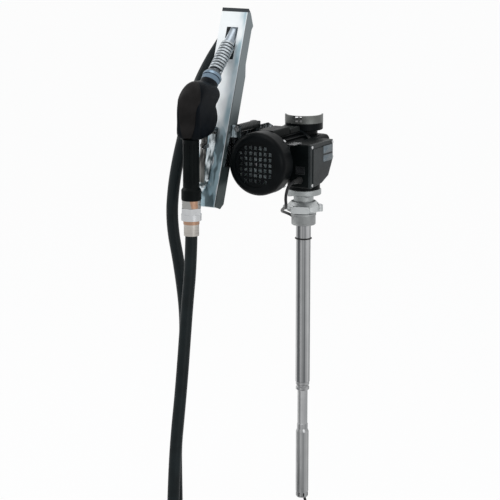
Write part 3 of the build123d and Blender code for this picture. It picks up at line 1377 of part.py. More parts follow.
def plug():
    """Round two-pin mains plug that lies beside the lead's coil."""
    body = Cylinder(PLUG_R, PLUG_L)
    body = fillet(body.edges().group_by(Axis.Z)[0], 8)
    body += Pos(0, 0, -PLUG_L / 2 - 4) * Cone(LEAD_D / 2 + 1.5, 9, 16)
    pins = Pos(PIN_PITCH / 2, 0, PLUG_L / 2 + PIN_L / 2) * Cylinder(PIN_R, PIN_L)
    body += pins + Pos(-PIN_PITCH, 0, 0) * pins
    coil = Pos(LEAD_COIL_X, LEAD_COIL_Y, FLOOR_Z + PLUG_R) * Rot(0, 0, PLUG_LEAVE + 90)
    return coil * Pos(PLUG_RUN, -PLUG_LEAVE_R, 0) * Rot(0, 90, 0) * body


NODES = {
    "bung_adapter": bung_adapter,
    "inlet_neck": inlet_neck,
    "clamp_front": lambda: clamp_half(True),
    "clamp_rear": lambda: clamp_half(False),
    "clamp_fasteners": clamp_fasteners,
    "rubber_seals": rubber_seals,
    "suction_tube_outer": suction_tube_outer,
    "lock_nut": lock_nut,
    "suction_tube_inner": suction_tube_inner,
    "foot_sleeve": lambda: foot_sleeve()[0],
    "foot_valve": foot_valve,
    "foot_strainer": foot_strainer,
    "motor_housing": motor_housing,
    "stator": stator,
    "motor_rotor": motor_rotor,
    "bearings": bearings,
    "rear_shield": lambda: rear_shield()[0],
    "drive_shield": drive_shield,
    "cooling_fan": cooling_fan,
    "fan_cover": fan_cover,
    "top_covers": top_covers,
    "small_screws": small_screws,
    "pump_body": pump_body,
    "pump_end_cover": pump_end_cover,
    "pump_bolts": pump_bolts,
    "pump_rotor": pump_rotor,
    "vanes": vanes,
    "bypass_poppet": bypass_poppet,
    "bypass_spring": bypass_spring,
    "bypass_cap": bypass_cap,
    "outlet_head": outlet_head,
    "outlet_ring": outlet_ring,
    "outlet_elbow": outlet_elbow,
    "terminal_box": terminal_box,
    "terminal_lid": terminal_lid,
    "switch_frame": switch_frame,
    "switch_rocker": switch_rocker,
    "cable_gland": cable_gland,
    "box_strap": box_strap,
    "nozzle_holder": nozzle_holder,
    "holder_bracket": holder_bracket,
    "bracket_hardware": bracket_hardware,
    "ribbed_stud": ribbed_stud,
    "nozzle_body": nozzle_body,
    "nozzle_cover": nozzle_cover,
    "grip_sleeve": grip_sleeve,
    "handle_tube": handle_tube,
    "spout": spout,
    "spout_wire": spout_wire,
    "trigger_lever": trigger_lever,
    "lever_guard": lever_guard,
    "hold_clip": hold_clip,
    "swivel_nut": swivel_nut,
    "nozzle_ferrule": nozzle_ferrule,
    "hose_supply": lambda: cord_tube(SUPPLY_ROUTE, HOSE_D, "hose supply"),
    "hose_delivery": lambda: cord_tube(DELIVERY_ROUTE, HOSE_D, "hose delivery"),
    "hose_coil": hose_coil,
    "mains_lead": lambda: cord_tube(LEAD_ROUTE, LEAD_D, "mains lead"),
    "lead_coil": lead_coil,
    "plug": plug,
}

os.makedirs("parts", exist_ok=True)
for name, make in NODES.items():
    export_step(make(), f"parts/{name}.step")
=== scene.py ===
import logging
import math
from dataclasses import dataclass
from enum import Enum

import bmesh
import bpy
from mathutils import Matrix, Vector


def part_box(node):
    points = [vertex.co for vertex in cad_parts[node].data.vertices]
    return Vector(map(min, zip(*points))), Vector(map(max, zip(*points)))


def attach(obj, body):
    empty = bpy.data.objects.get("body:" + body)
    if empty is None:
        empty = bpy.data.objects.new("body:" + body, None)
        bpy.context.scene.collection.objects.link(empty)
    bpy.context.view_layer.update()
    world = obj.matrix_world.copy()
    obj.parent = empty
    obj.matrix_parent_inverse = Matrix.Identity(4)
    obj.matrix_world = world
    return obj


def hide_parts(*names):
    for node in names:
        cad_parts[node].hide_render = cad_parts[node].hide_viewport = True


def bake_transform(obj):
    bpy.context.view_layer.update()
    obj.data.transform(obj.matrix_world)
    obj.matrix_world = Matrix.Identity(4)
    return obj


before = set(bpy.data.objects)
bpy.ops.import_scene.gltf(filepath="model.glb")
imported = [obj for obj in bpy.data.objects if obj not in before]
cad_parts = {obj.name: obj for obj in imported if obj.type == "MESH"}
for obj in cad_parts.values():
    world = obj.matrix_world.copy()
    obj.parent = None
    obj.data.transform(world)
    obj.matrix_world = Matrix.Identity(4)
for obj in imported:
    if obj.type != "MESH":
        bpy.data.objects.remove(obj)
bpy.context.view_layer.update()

LOG = logging.getLogger("drum_pump")

# Pieces are sized in millimetres and finishes in metres
MM = 0.001

Point = tuple[float, float, float]
Colour = tuple[float, float, float]
Span = tuple[float, float]

WHITE: Colour = (1.0, 1.0, 1.0)
UNSTRETCHED: Point = (1, 1, 1)

# The cords' routes, in millimetres, as the model of the part has them
SUPPLY_ROUTE: list[Point] = [
    (-72.75, 55, 207), (-115.5, 30.3, 178.5), (-174, 25, 161), (-243, 42, 165),
    (-302, 69, 203), (-331, 94, 262), (-315, 121, 327), (-278, 140, 382), (-251, 115, 437),
    (-221, 63, 470), (-194, -2, 470), (-186, -67, 438), (-200, -115, 384), (-211, -156, 322),
    (-225, -194, 215), (-236, -219, 110), (-238, -230, 9), (-223, -215, -106),
    (-223, -189, -241), (-247, -166, -372), (-276, -142, -516), (-294, -126, -590),
    (-295, -124, -664), (-272, -159, -742), (-232, -226, -787.5), (-187, -302, -787.5),
]
DELIVERY_ROUTE: list[Point] = [
    (-115, -336, 20), (-115, -340, -64), (-117, -354, -154), (-114, -386, -342),
    (-114, -415, -482), (-110, -435, -630), (-131, -399, -708), (-170, -332, -758),
    (-214, -256, -758),
]
LEAD_ROUTE: list[Point] = [
    (76, -193.4, 128), (76, -211, 126), (76, -223, 113), (75, -227, 95), (72, -218, 78),
    (60, -199, 67), (36, -164, 58), (7, -117, 46), (-22, -70, 32), (-45, -26, 20),
    (-57, 11, 10), (-54, 41, -2), (-44, 56, -24), (-38, 60, -56), (-34, 59, -110),
    (-31, 58, -190), (-31, 57, -285), (-32, 58, -385), (-35, 59, -485), (-37, 61, -580),
    (-36, 63, -670), (-29, 62, -732), (-10, 54, -771), (11, 37, -794), (32.5, 14.5, -798.2),
    (51.5, -14.5, -798.2),
]
PLUG_TAIL: Point = (96.6, -57.8, -784)

# Where the spout leaves the nozzle's neck, in millimetres, and how far it leans back
SPOUT_ROOT: Point = (-115.0, -243.0, 366.0)
SPOUT_LEAN = math.radians(47.0)

# How finely a spring is divided
WIRE_SIDES = 10
STEPS_PER_TURN = 40

QUARTER_TURN = math.pi / 2
FULL_TURN = 2 * math.pi


def metres(point: Point) -> Vector:
    """Turn a point in millimetres into metres."""
    return Vector(point) * MM


def part_way(value: float, span: Span) -> float:
    """How far along a span a value is, from 0 to 1."""
    return min(1.0, max(0.0, (value - span[0]) / (span[1] - span[0])))


def on_spout(distance: float) -> Matrix:
    """Place on the spout's axis, at a distance in millimetres past its root."""
    along = Matrix.Translation((0, 0, distance * MM))
    return Matrix.Translation(metres(SPOUT_ROOT)) @ Matrix.Rotation(-SPOUT_LEAN, 4, "X") @ along


def link(name: str, data: bpy.types.ID) -> bpy.types.Object:
    """Put a new object with its data into the scene.

    Args:
        name: Name of the object.
        data: Its mesh, curve, lamp or camera.

    Returns:
        The object.
    """
    made = bpy.data.objects.new(name, data)
    bpy.context.collection.objects.link(made)
    return made


def to_object(name: str, mesh: bmesh.types.BMesh) -> bpy.types.Object:
    """Turn a bmesh into an object of a name and free it.

    Args:
        name: Name of the object.
        mesh: Its shape.

    Returns:
        The object.
    """
    data = bpy.data.meshes.new(name)
    mesh.to_mesh(data)
    mesh.free()
    return link(name, data)


class Grain(Enum):
    """Kinds of fine relief that a finish can have."""

    SMOOTH = "smooth"
    PEEL = "orange peel of powder coat"
    CAST = "sand-cast skin"
    STIPPLE = "moulded stipple"
    BRUSHED = "drawn or rolled streaks along Z"
    WRAP = "cloth-wrap marks of a moulded hose"


class Tone:
    """A shader socket that can be used in Python sums and products."""

    def __init__(self, recipe: "Recipe", socket: bpy.types.NodeSocket) -> None:
        """Keep the socket and the recipe that it belongs to."""
        self.recipe = recipe
        self.socket = socket

    def combine(self, operation: str, left: "Amount", right: "Amount") -> "Tone":
        """Work out an operation of the Math node on two values."""
        return self.recipe.node("Math", {"operation": operation}, {0: left, 1: right})

    def __add__(self, other: "Amount") -> "Tone":
        """Sum."""
        return self.combine("ADD", self, other)

    def __radd__(self, other: "Amount") -> "Tone":
        """Sum with a number on the left."""
        return self.combine("ADD", other, self)

    def __sub__(self, other: "Amount") -> "Tone":
        """Difference."""
        return self.combine("SUBTRACT", self, other)

    def __rsub__(self, other: "Amount") -> "Tone":
        """Difference from a number."""
        return self.combine("SUBTRACT", other, self)

    def __mul__(self, other: "Amount") -> "Tone":
        """Product."""
        return self.combine("MULTIPLY", self, other)

    def __rmul__(self, other: "Amount") -> "Tone":
        """Product with a number on the left."""
        return self.combine("MULTIPLY", other, self)

    def ramp(self, low: float, high: float) -> "Tone":
        """Bring a range of values to 0 to 1, eased and held at both ends.

        Args:
            low: The value that becomes 0.
            high: The value that becomes 1.

        Returns:
            The brought value.
        """
        values = {"Value": self, "From Min": low, "From Max": high}
        settings = {"interpolation_type": "SMOOTHSTEP"}
        return self.recipe.node("MapRange", settings, values, "Result")

    def step(self, start: float, width: float) -> "Tone":
        """0 below a value and 1 from a width past it."""
        return self.ramp(start, start + width)


Amount = Tone | float


class Recipe:
    """Node tree of a material or a world, with the makers of nodes that the finishes share."""

    def __init__(self, owner: bpy.types.Material | bpy.types.World) -> None:
        """Empty the owner's tree.

        Args:
            owner: The material or world that the tree is in.
        """
        owner.use_nodes = True
        self.owner = owner
        self.tree = owner.node_tree
        self.tree.nodes.clear()

    def add(
        self,
        kind: str,
        settings: dict[str, object] | None = None,
        values: dict[str | int, object] | None = None,
    ) -> bpy.types.Node:
        """Add a node, set its options and fill its sockets.

        Args:
            kind: The node's type, without the ShaderNode that it starts with.
            settings: Options of the node, by name.
            values: Numbers, colours or links for its inputs, by name or number.

        Returns:
            The node.
        """
        node = self.tree.nodes.new("ShaderNode" + kind)
        for key, value in (settings or {}).items():
            setattr(node, key, value)
        for key, value in (values or {}).items():
            slot = node.inputs[key]
            if isinstance(value, Tone):
                self.tree.links.new(value.socket, slot)
            elif isinstance(value, tuple) and slot.type == "RGBA":
                slot.default_value = (*value, 1.0)
            else:
                slot.default_value = value
        return node

    def node(
        self,
        kind: str,
        settings: dict[str, object] | None = None,
        values: dict[str | int, object] | None = None,
        out: str | int = 0,
    ) -> Tone:
        """Add a node and hand back one of its outputs, by name or number."""
        return Tone(self, self.add(kind, settings, values).outputs[out])

    def place(self, scale: Point = UNSTRETCHED) -> Tone:
        """Object coordinates in metres, stretched by a scale."""
        coords = self.node("TexCoord", out="Object")
        return self.node("Mapping", values={"Vector": coords, "Scale": Vector(scale)})

    def axis(self, name: str) -> Tone:
        """Object coordinate X, Y or Z, in metres from the middle of the bung thread."""
        return self.node("SeparateXYZ", values={"Vector": self.place()}, out=name)

    def noise(self, scale: float, stretch: Point = UNSTRETCHED, detail: float = 3.0) -> Tone:
        """Noise from 0 to 1 with its lumps 1/scale metres apart."""
        values = {"Vector": self.place(stretch), "Scale": scale, "Detail": detail}
        return self.node("TexNoise", values=values, out="Fac")

    def blend(self, amount: Amount, first: object, second: object) -> Tone:
        """Mix two colours, through the Mix node's sockets for colours."""
        return self.node("Mix", {"data_type": "RGBA"}, {0: amount, 6: first, 7: second}, 2)

    def bump(self, relief: Tone, depth: float) -> Tone:
        """Relief of a depth in metres, as a normal."""
        values = {"Height": relief, "Distance": depth, "Strength": 1.0}
        return self.node("Bump", values=values, out="Normal")

    def close(self, surface: Tone, kind: str = "OutputMaterial") -> None:
        """End the tree with a surface."""
        self.add(kind, values={"Surface": surface})


@dataclass(frozen=True)
class Relief:
    """Fine relief from layers of noise."""

    depth: float
    layers: tuple[tuple[float, Point, float], ...]

    def lay(self, recipe: Recipe) -> Tone:
        """Add up the layers, each a scale, a stretch and a detail, as one normal.

        Args:
            recipe: Tree that the layers go into.

        Returns:
            The normal.
        """
        height, *others = [recipe.noise(*layer) for layer in self.layers]
        for other in others:
            height = height + other
        return recipe.bump(height, self.depth)


NOISE_RELIEF: dict[Grain, Relief] = {
    Grain.PEEL: Relief(0.00012, ((420, UNSTRETCHED, 2),)),
    Grain.CAST: Relief(0.00022, ((700, UNSTRETCHED, 5),)),
    Grain.BRUSHED: Relief(0.00003, ((1500, (1, 1, 0.02), 2),)),
    Grain.WRAP: Relief(0.00016, ((950, (1, 1, 0.35), 3), (120, (1, 1, 0.6), 2))),
}
STIPPLE_SCALE = 1300.0
STIPPLE_DEPTH = 0.00009


@dataclass(frozen=True)
class Finish:
    """A plain finish: a colour that varies a little, a roughness and a fine relief."""

    name: str
    colour: Colour
    roughness: float
    metallic: float = 0.0
    shade: float = 0.25
    patches: float = 25.0
    spread: float = 0.08
    grain: Grain = Grain.SMOOTH
    gloss: float = 0.5
    patch_edge: Span = (0.3, 0.7)

    def darker(self) -> Colour:
        """The colour in its darkest patches."""
        return tuple(channel * (1 - self.shade) for channel in self.colour)

    def lighter(self) -> Colour:
        """The colour in its lightest patches."""
        return tuple(min(1.0, channel * (1 + self.shade)) for channel in self.colour)

    def base(self, recipe: Recipe) -> Tone:
        """Colour with soft patches."""
        amount = recipe.noise(self.patches).ramp(*self.patch_edge)
        return recipe.blend(amount, self.darker(), self.lighter())

    def relief(self, recipe: Recipe) -> Tone | None:
        """Fine relief of the finish, as a normal.

        Args:
            recipe: Tree that the relief goes into.

        Returns:
            The normal, or None on a smooth finish.
        """
        if self.grain is Grain.STIPPLE:
            values = {"Vector": recipe.place(), "Scale": STIPPLE_SCALE}
            return recipe.bump(recipe.node("TexVoronoi", values=values), STIPPLE_DEPTH)
        if self.grain in NOISE_RELIEF:
            return NOISE_RELIEF[self.grain].lay(recipe)
        return None

    def make(self) -> bpy.types.Material:
        """Build the material.

        Returns:
            The material.
        """
        recipe = Recipe(bpy.data.materials.new(self.name))
        worn = recipe.noise(self.patches * 3, detail=4)
        values: dict[str | int, object] = {
            "Base Color": self.base(recipe),
            "Metallic": self.metallic,
            "Roughness": worn * (2 * self.spread) + (self.roughness - self.spread),
            "Specular IOR Level": self.gloss,
        }
        relief = self.relief(recipe)
        if relief is not None:
            values["Normal"] = relief
        recipe.close(recipe.node("BsdfPrincipled", values=values))
        return recipe.owner


@dataclass(frozen=True)
class ZincSheet(Finish):
    """Bright zinc-plated sheet: pale above, with painted dark reflections and painted shade on its
    flange and low down.
    """

    # Painted light: a teal reflection by the flange, a dark reflection low down, shade on the top
    # edge, highlights in streaks and on the fold, and a dark reflection on the flange with shade
    # on it low down.
    teal_reflection: Colour = (0.36, 0.5, 0.56)
    low: Colour = (0.12, 0.17, 0.19)
    edge: Colour = (0.03, 0.035, 0.04)
    bright: Colour = (0.85, 0.88, 0.9)
    flange: Colour = (0.17, 0.2, 0.21)
    flange_low_shade: Colour = (0.035, 0.05, 0.05)
    flange_x: float = -0.081
    flange_shade: Span = (0.1, 0.42)
    fold: float = 0.0016
    fold_fade: float = 0.0003
    flange_fade: float = 0.0004
    teal_side: Span = (-0.104, -0.088)
    teal_streaks: Span = (0.3, 0.6)
    low_streaks: Span = (0.4, 0.47)
    highlight_streaks: Span = (0.54, 0.58)
    streak_scale: float = 34.0
    streak_stretch: Point = (1, 1, 0.22)
    low_end: Span = (0.215, 0.275)
    edge_from: float = 0.512
    edge_fade: float = 0.001

    def base(self, recipe: Recipe) -> Tone:
        """Pale face with a painted teal reflection by the flange, a painted highlight on the fold,
        a painted dark reflection on the flange with painted shade low down, painted dark
        reflections with painted highlight streaks on the lower end, and painted shade on the top
        edge.

        Args:
            recipe: Tree that the colour goes into.

        Returns:
            The colour.
        """
        across, height = recipe.axis("X"), recipe.axis("Z")
        streaks = recipe.noise(self.streak_scale, self.streak_stretch, 2)
        # Painted teal reflection in streaks towards the flange.
        side = across.ramp(*self.teal_side) * streaks.ramp(*self.teal_streaks)
        pale = recipe.blend(side, super().base(recipe), self.teal_reflection)
        # Low down: painted dark reflections, with painted highlights in streaks.
        low_reflections = recipe.blend(streaks.ramp(*self.low_streaks), self.low, self.teal_reflection)
        low_reflections_and_highlights = recipe.blend(streaks.ramp(*self.highlight_streaks), low_reflections, self.bright)
        face = recipe.blend(height.ramp(*self.low_end), low_reflections_and_highlights, pale)
        # Painted highlight along the fold.
        rounded = across.step(self.flange_x - self.fold, self.fold_fade)
        with_fold_highlight = recipe.blend(rounded, face, self.bright)
        # Painted dark reflection on the flange, with painted shade low down.
        shaded = recipe.blend(height.ramp(*self.flange_shade), self.flange_low_shade, self.flange)
        both = recipe.blend(across.step(self.flange_x, self.flange_fade), with_fold_highlight, shaded)
        # Painted shade along the top edge.
        return recipe.blend(height.step(self.edge_from, self.edge_fade), both, self.edge)


@dataclass(frozen=True)
class ThreadedCollar(Finish):
    """Cast collar whose lower part carries a thread."""

    pitch: float = 0.0023
    low: float = -0.011
    high: float = 0.0105
    fade: float = 0.001
    thread_share: float = 0.5
    skin_scale: float = 700.0
    skin_share: float = 0.25
    depth: float = 0.0006

    def relief(self, recipe: Recipe) -> Tone | None:
        """Thread between two heights over the cast skin.

        Args:
            recipe: Tree that the relief goes into.

        Returns:
            The normal.
        """
        height = recipe.axis("Z")
        angle = height * (FULL_TURN / self.pitch)
        wave = recipe.node("Math", {"operation": "SINE"}, {0: angle})
        above = height.step(self.high - self.fade, self.fade)
        inside = height.step(self.low, self.fade) * (1.0 - above)
        skin = recipe.noise(self.skin_scale, detail=4) * self.skin_share
        return recipe.bump(wave * inside * self.thread_share + skin, self.depth)


@dataclass(frozen=True)
class SpoutFinish(Finish):
    """A finish that knows its distance along the spout, whose collar is pale."""

    collar: Colour = (0.17, 0.23, 0.29)
    collar_fade: float = 0.0005

    def along(self, recipe: Recipe) -> Tone:
        """Distance from the spout's root along its axis, in metres.

        Args:
            recipe: Tree that the measure goes into.

        Returns:
            The distance.
        """
        way = Vector((0, math.sin(SPOUT_LEAN), math.cos(SPOUT_LEAN)))
        values = {0: recipe.place(), 1: way}
        dot = recipe.node("VectorMath", {"operation": "DOT_PRODUCT"}, values, "Value")
        return dot - way.dot(metres(SPOUT_ROOT))


@dataclass(frozen=True)
class CollaredPlastic(SpoutFinish):
    """Nozzle plastic that turns into the pale collar at the top of its neck."""

    collar_start: float = -0.014

    def base(self, recipe: Recipe) -> Tone:
        """Dark body with the pale band on its neck."""
        band = self.along(recipe).step(self.collar_start, self.collar_fade)
        return recipe.blend(band, super().base(recipe), self.collar)


@dataclass(frozen=True)
class SpoutMetal(SpoutFinish):
    """Spout: the pale collar's upper part, dark steel deepened with painted shade under the wire
    guard, and a bright tip.
    """

    tip: Colour = (0.3, 0.34, 0.38)
    collar_end: float = 0.0085
    tip_start: float = 0.104
    tip_fade: float = 0.002

    def base(self, recipe: Recipe) -> Tone:
        """Colour by the distance along the spout, with painted shade under the guard.

        Args:
            recipe: Tree that the colour goes into.

        Returns:
            The colour.
        """
        along = self.along(recipe)
        # Past the guard the tip is lighter; under the guard the colour holds painted shade.
        bright = along.step(self.tip_start, self.tip_fade)
        guard_shade_and_tip = recipe.blend(bright, super().base(recipe), self.tip)
        return recipe.blend(along.step(self.collar_end, self.collar_fade), self.collar, guard_shade_and_tip)


@dataclass(frozen=True)
class DrawnTube(Finish):
    """Drawn or rolled steel with pale and dark streaks along its length, the dark streaks painted
    reflection bands.
    """

    # Colour of the dark streaks: painted reflection bands.
    dark: Colour = (0.1, 0.105, 0.11)
    bands: float = 62.0
    streak_stretch: Point = (1, 1, 0.004)
    streak_edge: Span = (0.4, 0.62)

    def base(self, recipe: Recipe) -> Tone:
        """Streaks that run up the tube, the dark ones painted reflection bands."""
        streaks = recipe.noise(self.bands, self.streak_stretch, 2)
        return recipe.blend(streaks.ramp(*self.streak_edge), self.dark, super().base(recipe))


@dataclass(frozen=True)
class BandedMetal(Finish):
    """Turned metal with a copper-coloured band and copper flushes on its upper ring."""

    copper: Colour = (0.36, 0.22, 0.15)
    band_to_ring: Span = (0.0442, 0.073)
    flush_scale: float = 30.0
    flush_stretch: Point = (1, 1, 0.3)
    flush_edge: Span = (0.5, 0.56)

    def base(self, recipe: Recipe) -> Tone:
        """Grey ring with flushes of copper above, all copper below.

        Args:
            recipe: Tree that the colour goes into.

        Returns:
            The colour.
        """
        flushes = recipe.noise(self.flush_scale, self.flush_stretch, 1)
        upper = recipe.blend(flushes.ramp(*self.flush_edge), super().base(recipe), self.copper)
        return recipe.blend(recipe.axis("Z").ramp(*self.band_to_ring), self.copper, upper)


BLACK_PAINT = Finish("black_paint", (0.003, 0.004, 0.0045), 0.34, grain=Grain.PEEL, gloss=0.05)
BLACK_PLASTIC = Finish(
    "black_plastic", (0.003, 0.0045, 0.0045), 0.4, grain=Grain.STIPPLE, gloss=0.05)
NOZZLE_PLASTIC = CollaredPlastic(
    "nozzle_plastic", (0.0025, 0.004, 0.006), 0.38, grain=Grain.STIPPLE, gloss=0.05)
GLOSS_PLASTIC = Finish("gloss_plastic", (0.02, 0.021, 0.022), 0.3, gloss=0.25)
LID_PLASTIC = Finish("lid_plastic", (0.017, 0.021, 0.022), 0.42, grain=Grain.STIPPLE, gloss=0.2)
COVER_PLASTIC = Finish(
    "cover_plastic", (0.009, 0.008, 0.0078), 0.45, shade=0.4, grain=Grain.STIPPLE, gloss=0.08)
FAN_PLASTIC = Finish("fan_plastic", (0.5, 0.56, 0.56), 0.5, grain=Grain.STIPPLE)
CAST_ALLOY = Finish("cast_alloy", (0.34, 0.36, 0.36), 0.42, 0.8, 0.08, grain=Grain.CAST)
CLAMP_ALLOY = Finish("clamp_alloy", (0.5, 0.52, 0.52), 0.4, 0.7, 0.08, grain=Grain.CAST)
COLLAR_ALLOY = ThreadedCollar("collar_alloy", (0.3, 0.31, 0.31), 0.42, 0.8, 0.08)
# The dark streaks of these drawn finishes are painted reflection bands.
TUBE_STEEL = DrawnTube(
    "tube_steel", (0.5, 0.505, 0.51), 0.3, 1.0, 0.05, spread=0.03, grain=Grain.BRUSHED)
FOOT_STEEL = DrawnTube(
    "foot_steel", (0.45, 0.455, 0.46), 0.3, 1.0, 0.06, spread=0.03, grain=Grain.BRUSHED,
    dark=(0.2, 0.205, 0.21))
PLATED_STEEL = Finish("plated_steel", (0.5, 0.51, 0.52), 0.26, 1.0, 0.05, spread=0.03)
DULL_ZINC = Finish("dull_zinc", (0.24, 0.25, 0.25), 0.4, 0.9, 0.08, grain=Grain.CAST)
RING_ZINC = Finish("ring_zinc", (0.13, 0.135, 0.13), 0.42, 0.9, 0.2, grain=Grain.CAST)
# Their dark streaks are painted reflection bands too.
BRACKET_ZINC = DrawnTube(
    "bracket_zinc", (0.6, 0.66, 0.69), 0.28, 1.0, 0.05, dark=(0.05, 0.065, 0.07), bands=80.0)
LEVER_METAL = DrawnTube(
    "lever_metal", (0.2, 0.2, 0.19), 0.34, 0.8, 0.2, dark=(0.03, 0.03, 0.03), bands=160.0)
COPPER_BAND = Finish("copper_band", (0.5, 0.3, 0.2), 0.3, 0.95)
HANDLE_METAL = BandedMetal("handle_metal", (0.3, 0.3, 0.29), 0.32, 0.95, 0.08)
FERRULE_METAL = Finish("ferrule_metal", (0.42, 0.4, 0.37), 0.34, 0.95, 0.08)
# Dark steel, deepened with painted shade where the wire guard covers the spout.
SPOUT_METAL = SpoutMetal("spout_metal", (0.1, 0.11, 0.12), 0.36, 0.9, 0.08)
WIRE_STEEL = Finish("wire_steel", (0.34, 0.37, 0.39), 0.34, 0.9, 0.3, patches=60.0)
ZINC_SHEET = ZincSheet("zinc_sheet", (0.88, 0.91, 0.92), 0.3, 0.5, 0.03, spread=0.03)
HOSE_RUBBER = Finish("hose_rubber", (0.007, 0.011, 0.012), 0.4, grain=Grain.WRAP, gloss=0.12)
LEAD_RUBBER = Finish("lead_rubber", (0.012, 0.012, 0.013), 0.5, grain=Grain.STIPPLE, gloss=0.2)
SOFT_RUBBER = Finish("soft_rubber", (0.016, 0.016, 0.016), 0.6, grain=Grain.STIPPLE, gloss=0.3)
STUD_RUBBER = Finish("stud_rubber", (0.035, 0.038, 0.038), 0.3, gloss=0.3)
BARE_PLATE = Finish("bare_plate", (0.13, 0.16, 0.18), 0.4, 0.3, shade=0.12)
WORKS_STEEL = Finish("works_steel", (0.3, 0.3, 0.31), 0.35, 0.9, 0.08)

# The nodes of the part that keep their own shape, under what they are dressed in
DRESSED_NODES: dict[Finish, tuple[str, ...]] = {
    COLLAR_ALLOY: ("bung_adapter",),
    CAST_ALLOY: ("inlet_neck",),
    CLAMP_ALLOY: ("clamp_front", "clamp_rear"),
    PLATED_STEEL: (
        "clamp_fasteners", "small_screws", "box_strap", "bracket_hardware", "hold_clip",
        "swivel_nut",
    ),
    SOFT_RUBBER: ("rubber_seals", "vanes", "cable_gland"),
    TUBE_STEEL: ("suction_tube_outer", "suction_tube_inner"),
    FOOT_STEEL: ("lock_nut", "foot_sleeve", "foot_strainer"),
    COPPER_BAND: ("foot_valve", "bypass_poppet"),
    BLACK_PAINT: (
        "motor_housing", "rear_shield", "drive_shield", "fan_cover", "pump_body", "pump_end_cover",
        "bypass_cap", "outlet_head",
    ),
    WORKS_STEEL: ("stator", "motor_rotor", "bearings", "pump_bolts", "pump_rotor"),
    FAN_PLASTIC: ("cooling_fan",),
    BLACK_PLASTIC: ("top_covers", "terminal_box", "grip_sleeve"),
    RING_ZINC: ("outlet_ring",),
    DULL_ZINC: ("outlet_elbow",),
    LID_PLASTIC: ("terminal_lid",),
    GLOSS_PLASTIC: ("switch_frame", "switch_rocker", "plug"),
    ZINC_SHEET: ("nozzle_holder",),
    BRACKET_ZINC: ("holder_bracket", "lever_guard"),
    STUD_RUBBER: ("ribbed_stud",),
    HANDLE_METAL: ("handle_tube",),
    SPOUT_METAL: ("spout",),
    LEVER_METAL: ("trigger_lever",),
    FERRULE_METAL: ("nozzle_ferrule",),
}


class Workshop:
    """Makes materials once each and turns bmeshes into pieces."""

    def __init__(self) -> None:
        """Start with no materials made."""
        self.made: dict[str, bpy.types.Material] = {}

    def material(self, finish: Finish) -> bpy.types.Material:
        """Give a finish's material, made at its first use.

        Args:
            finish: The finish.

        Returns:
            Its material.
        """
        if finish.name not in self.made:
            self.made[finish.name] = finish.make()
        return self.made[finish.name]

    def piece(self, name: str, mesh: bmesh.types.BMesh, finish: Finish) -> bpy.types.Object:
        """Make a smooth-shaded object of a bmesh.

        Args:
            name: Name of the piece.
            mesh: Its shape, in metres, in the pump's frame.
            finish: What it is dressed in.

        Returns:
            The new object.
        """
        made = to_object(name, mesh)
        for polygon in made.data.polygons:
            polygon.use_smooth = True
        made.data.materials.append(self.material(finish))
        LOG.info("made %s with %d faces", name, len(made.data.polygons))
        return made

    def dress(self, node: str, finish: Finish) -> None:
        """Give a CAD node its finish.

        Args:
            node: Name of the node.
            finish: What it is dressed in.
        """
        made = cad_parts[node]
        for slot in made.material_slots:
            slot.link = "DATA"
            slot.material = self.material(finish)
        LOG.info("dressed %s in %s", node, finish.name)


@dataclass
class Cord:
    """A hose or lead as one smooth curve."""

    name: str
    diameter: float
    finish: Finish
    points: list[Point]

    def curve(self, shop: Workshop) -> bpy.types.Object:
        """Build the cord's NURBS curve.

        Args:
            shop: Where its material comes from.

        Returns:
            The curve object.
        """
        data = bpy.data.curves.new(self.name, "CURVE")
        data.dimensions = "3D"
        data.resolution_u = 10
        data.bevel_depth = self.diameter * MM / 2
        data.bevel_resolution = 7
        data.use_fill_caps = True
        spline = data.splines.new("NURBS")
        spline.points.add(len(self.points) - 1)
        for place, point in zip(spline.points, self.points):
            place.co = (*metres(point), 1.0)
        spline.order_u = 3
        spline.use_endpoint_u = True
        data.materials.append(shop.material(self.finish))
        LOG.info("laid %s through %d points", self.name, len(self.points))
        return link(self.name, data)


@dataclass(frozen=True)
class Coil:
    """A flat coil about an upright axis."""

    x: float
    y: float
    points_per_turn: int

    def bearing(self, point: Point) -> float:
        """Angle at which a point lies from the axis."""
        return math.atan2(point[1] - self.y, point[0] - self.x)

    def divide(self, sweep: float) -> tuple[int, float]:
        """Number of steps in a sweep, and the angle of each."""
        count = round(sweep / FULL_TURN * self.points_per_turn)
        return count, sweep / count

    def point(self, angle: float, step: float, radius: float, z: float) -> Point:
        """Point of the curve's cage, set out so that the curve between has the radius."""
        out = radius / math.cos(step / 2)
        return (self.x + out * math.cos(angle), self.y + out * math.sin(angle), z)


@dataclass
class PutAwayHose:
    """The hose: from the outlet elbow, round its coil and up to the nozzle."""

    diameter: float = 29.0
    coil: Coil = Coil(x=-62.5, y=-197.7, points_per_turn=16)
    coil_r: float = 160.0
    length: float = 4.05

    def turn(self) -> list[Point]:
        """Points of the turn between the two routes, climbing one layer.

        Returns:
            The points, in millimetres.
        """
        first, last = SUPPLY_ROUTE[-1], DELIVERY_ROUTE[-1]
        start = self.coil.bearing(first)
        count, step = self.coil.divide(self.coil.bearing(last) + FULL_TURN - start)
        return [
            self.coil.point(start + index * step, step, self.coil_r,
                            first[2] + (last[2] - first[2]) * index / count)
            for index in range(1, count)
        ]

    def build(self, shop: Workshop) -> bpy.types.Object:
        """Args:
            shop: Where its material comes from.

        Returns:
            The hose.
        """
        points = SUPPLY_ROUTE + self.turn() + DELIVERY_ROUTE[::-1]
        hose = Cord("hose", self.diameter, HOSE_RUBBER, points).curve(shop)
        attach(hose, "pump")
        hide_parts("hose_supply", "hose_delivery", "hose_coil")
        self.diameter * MM
        return hose


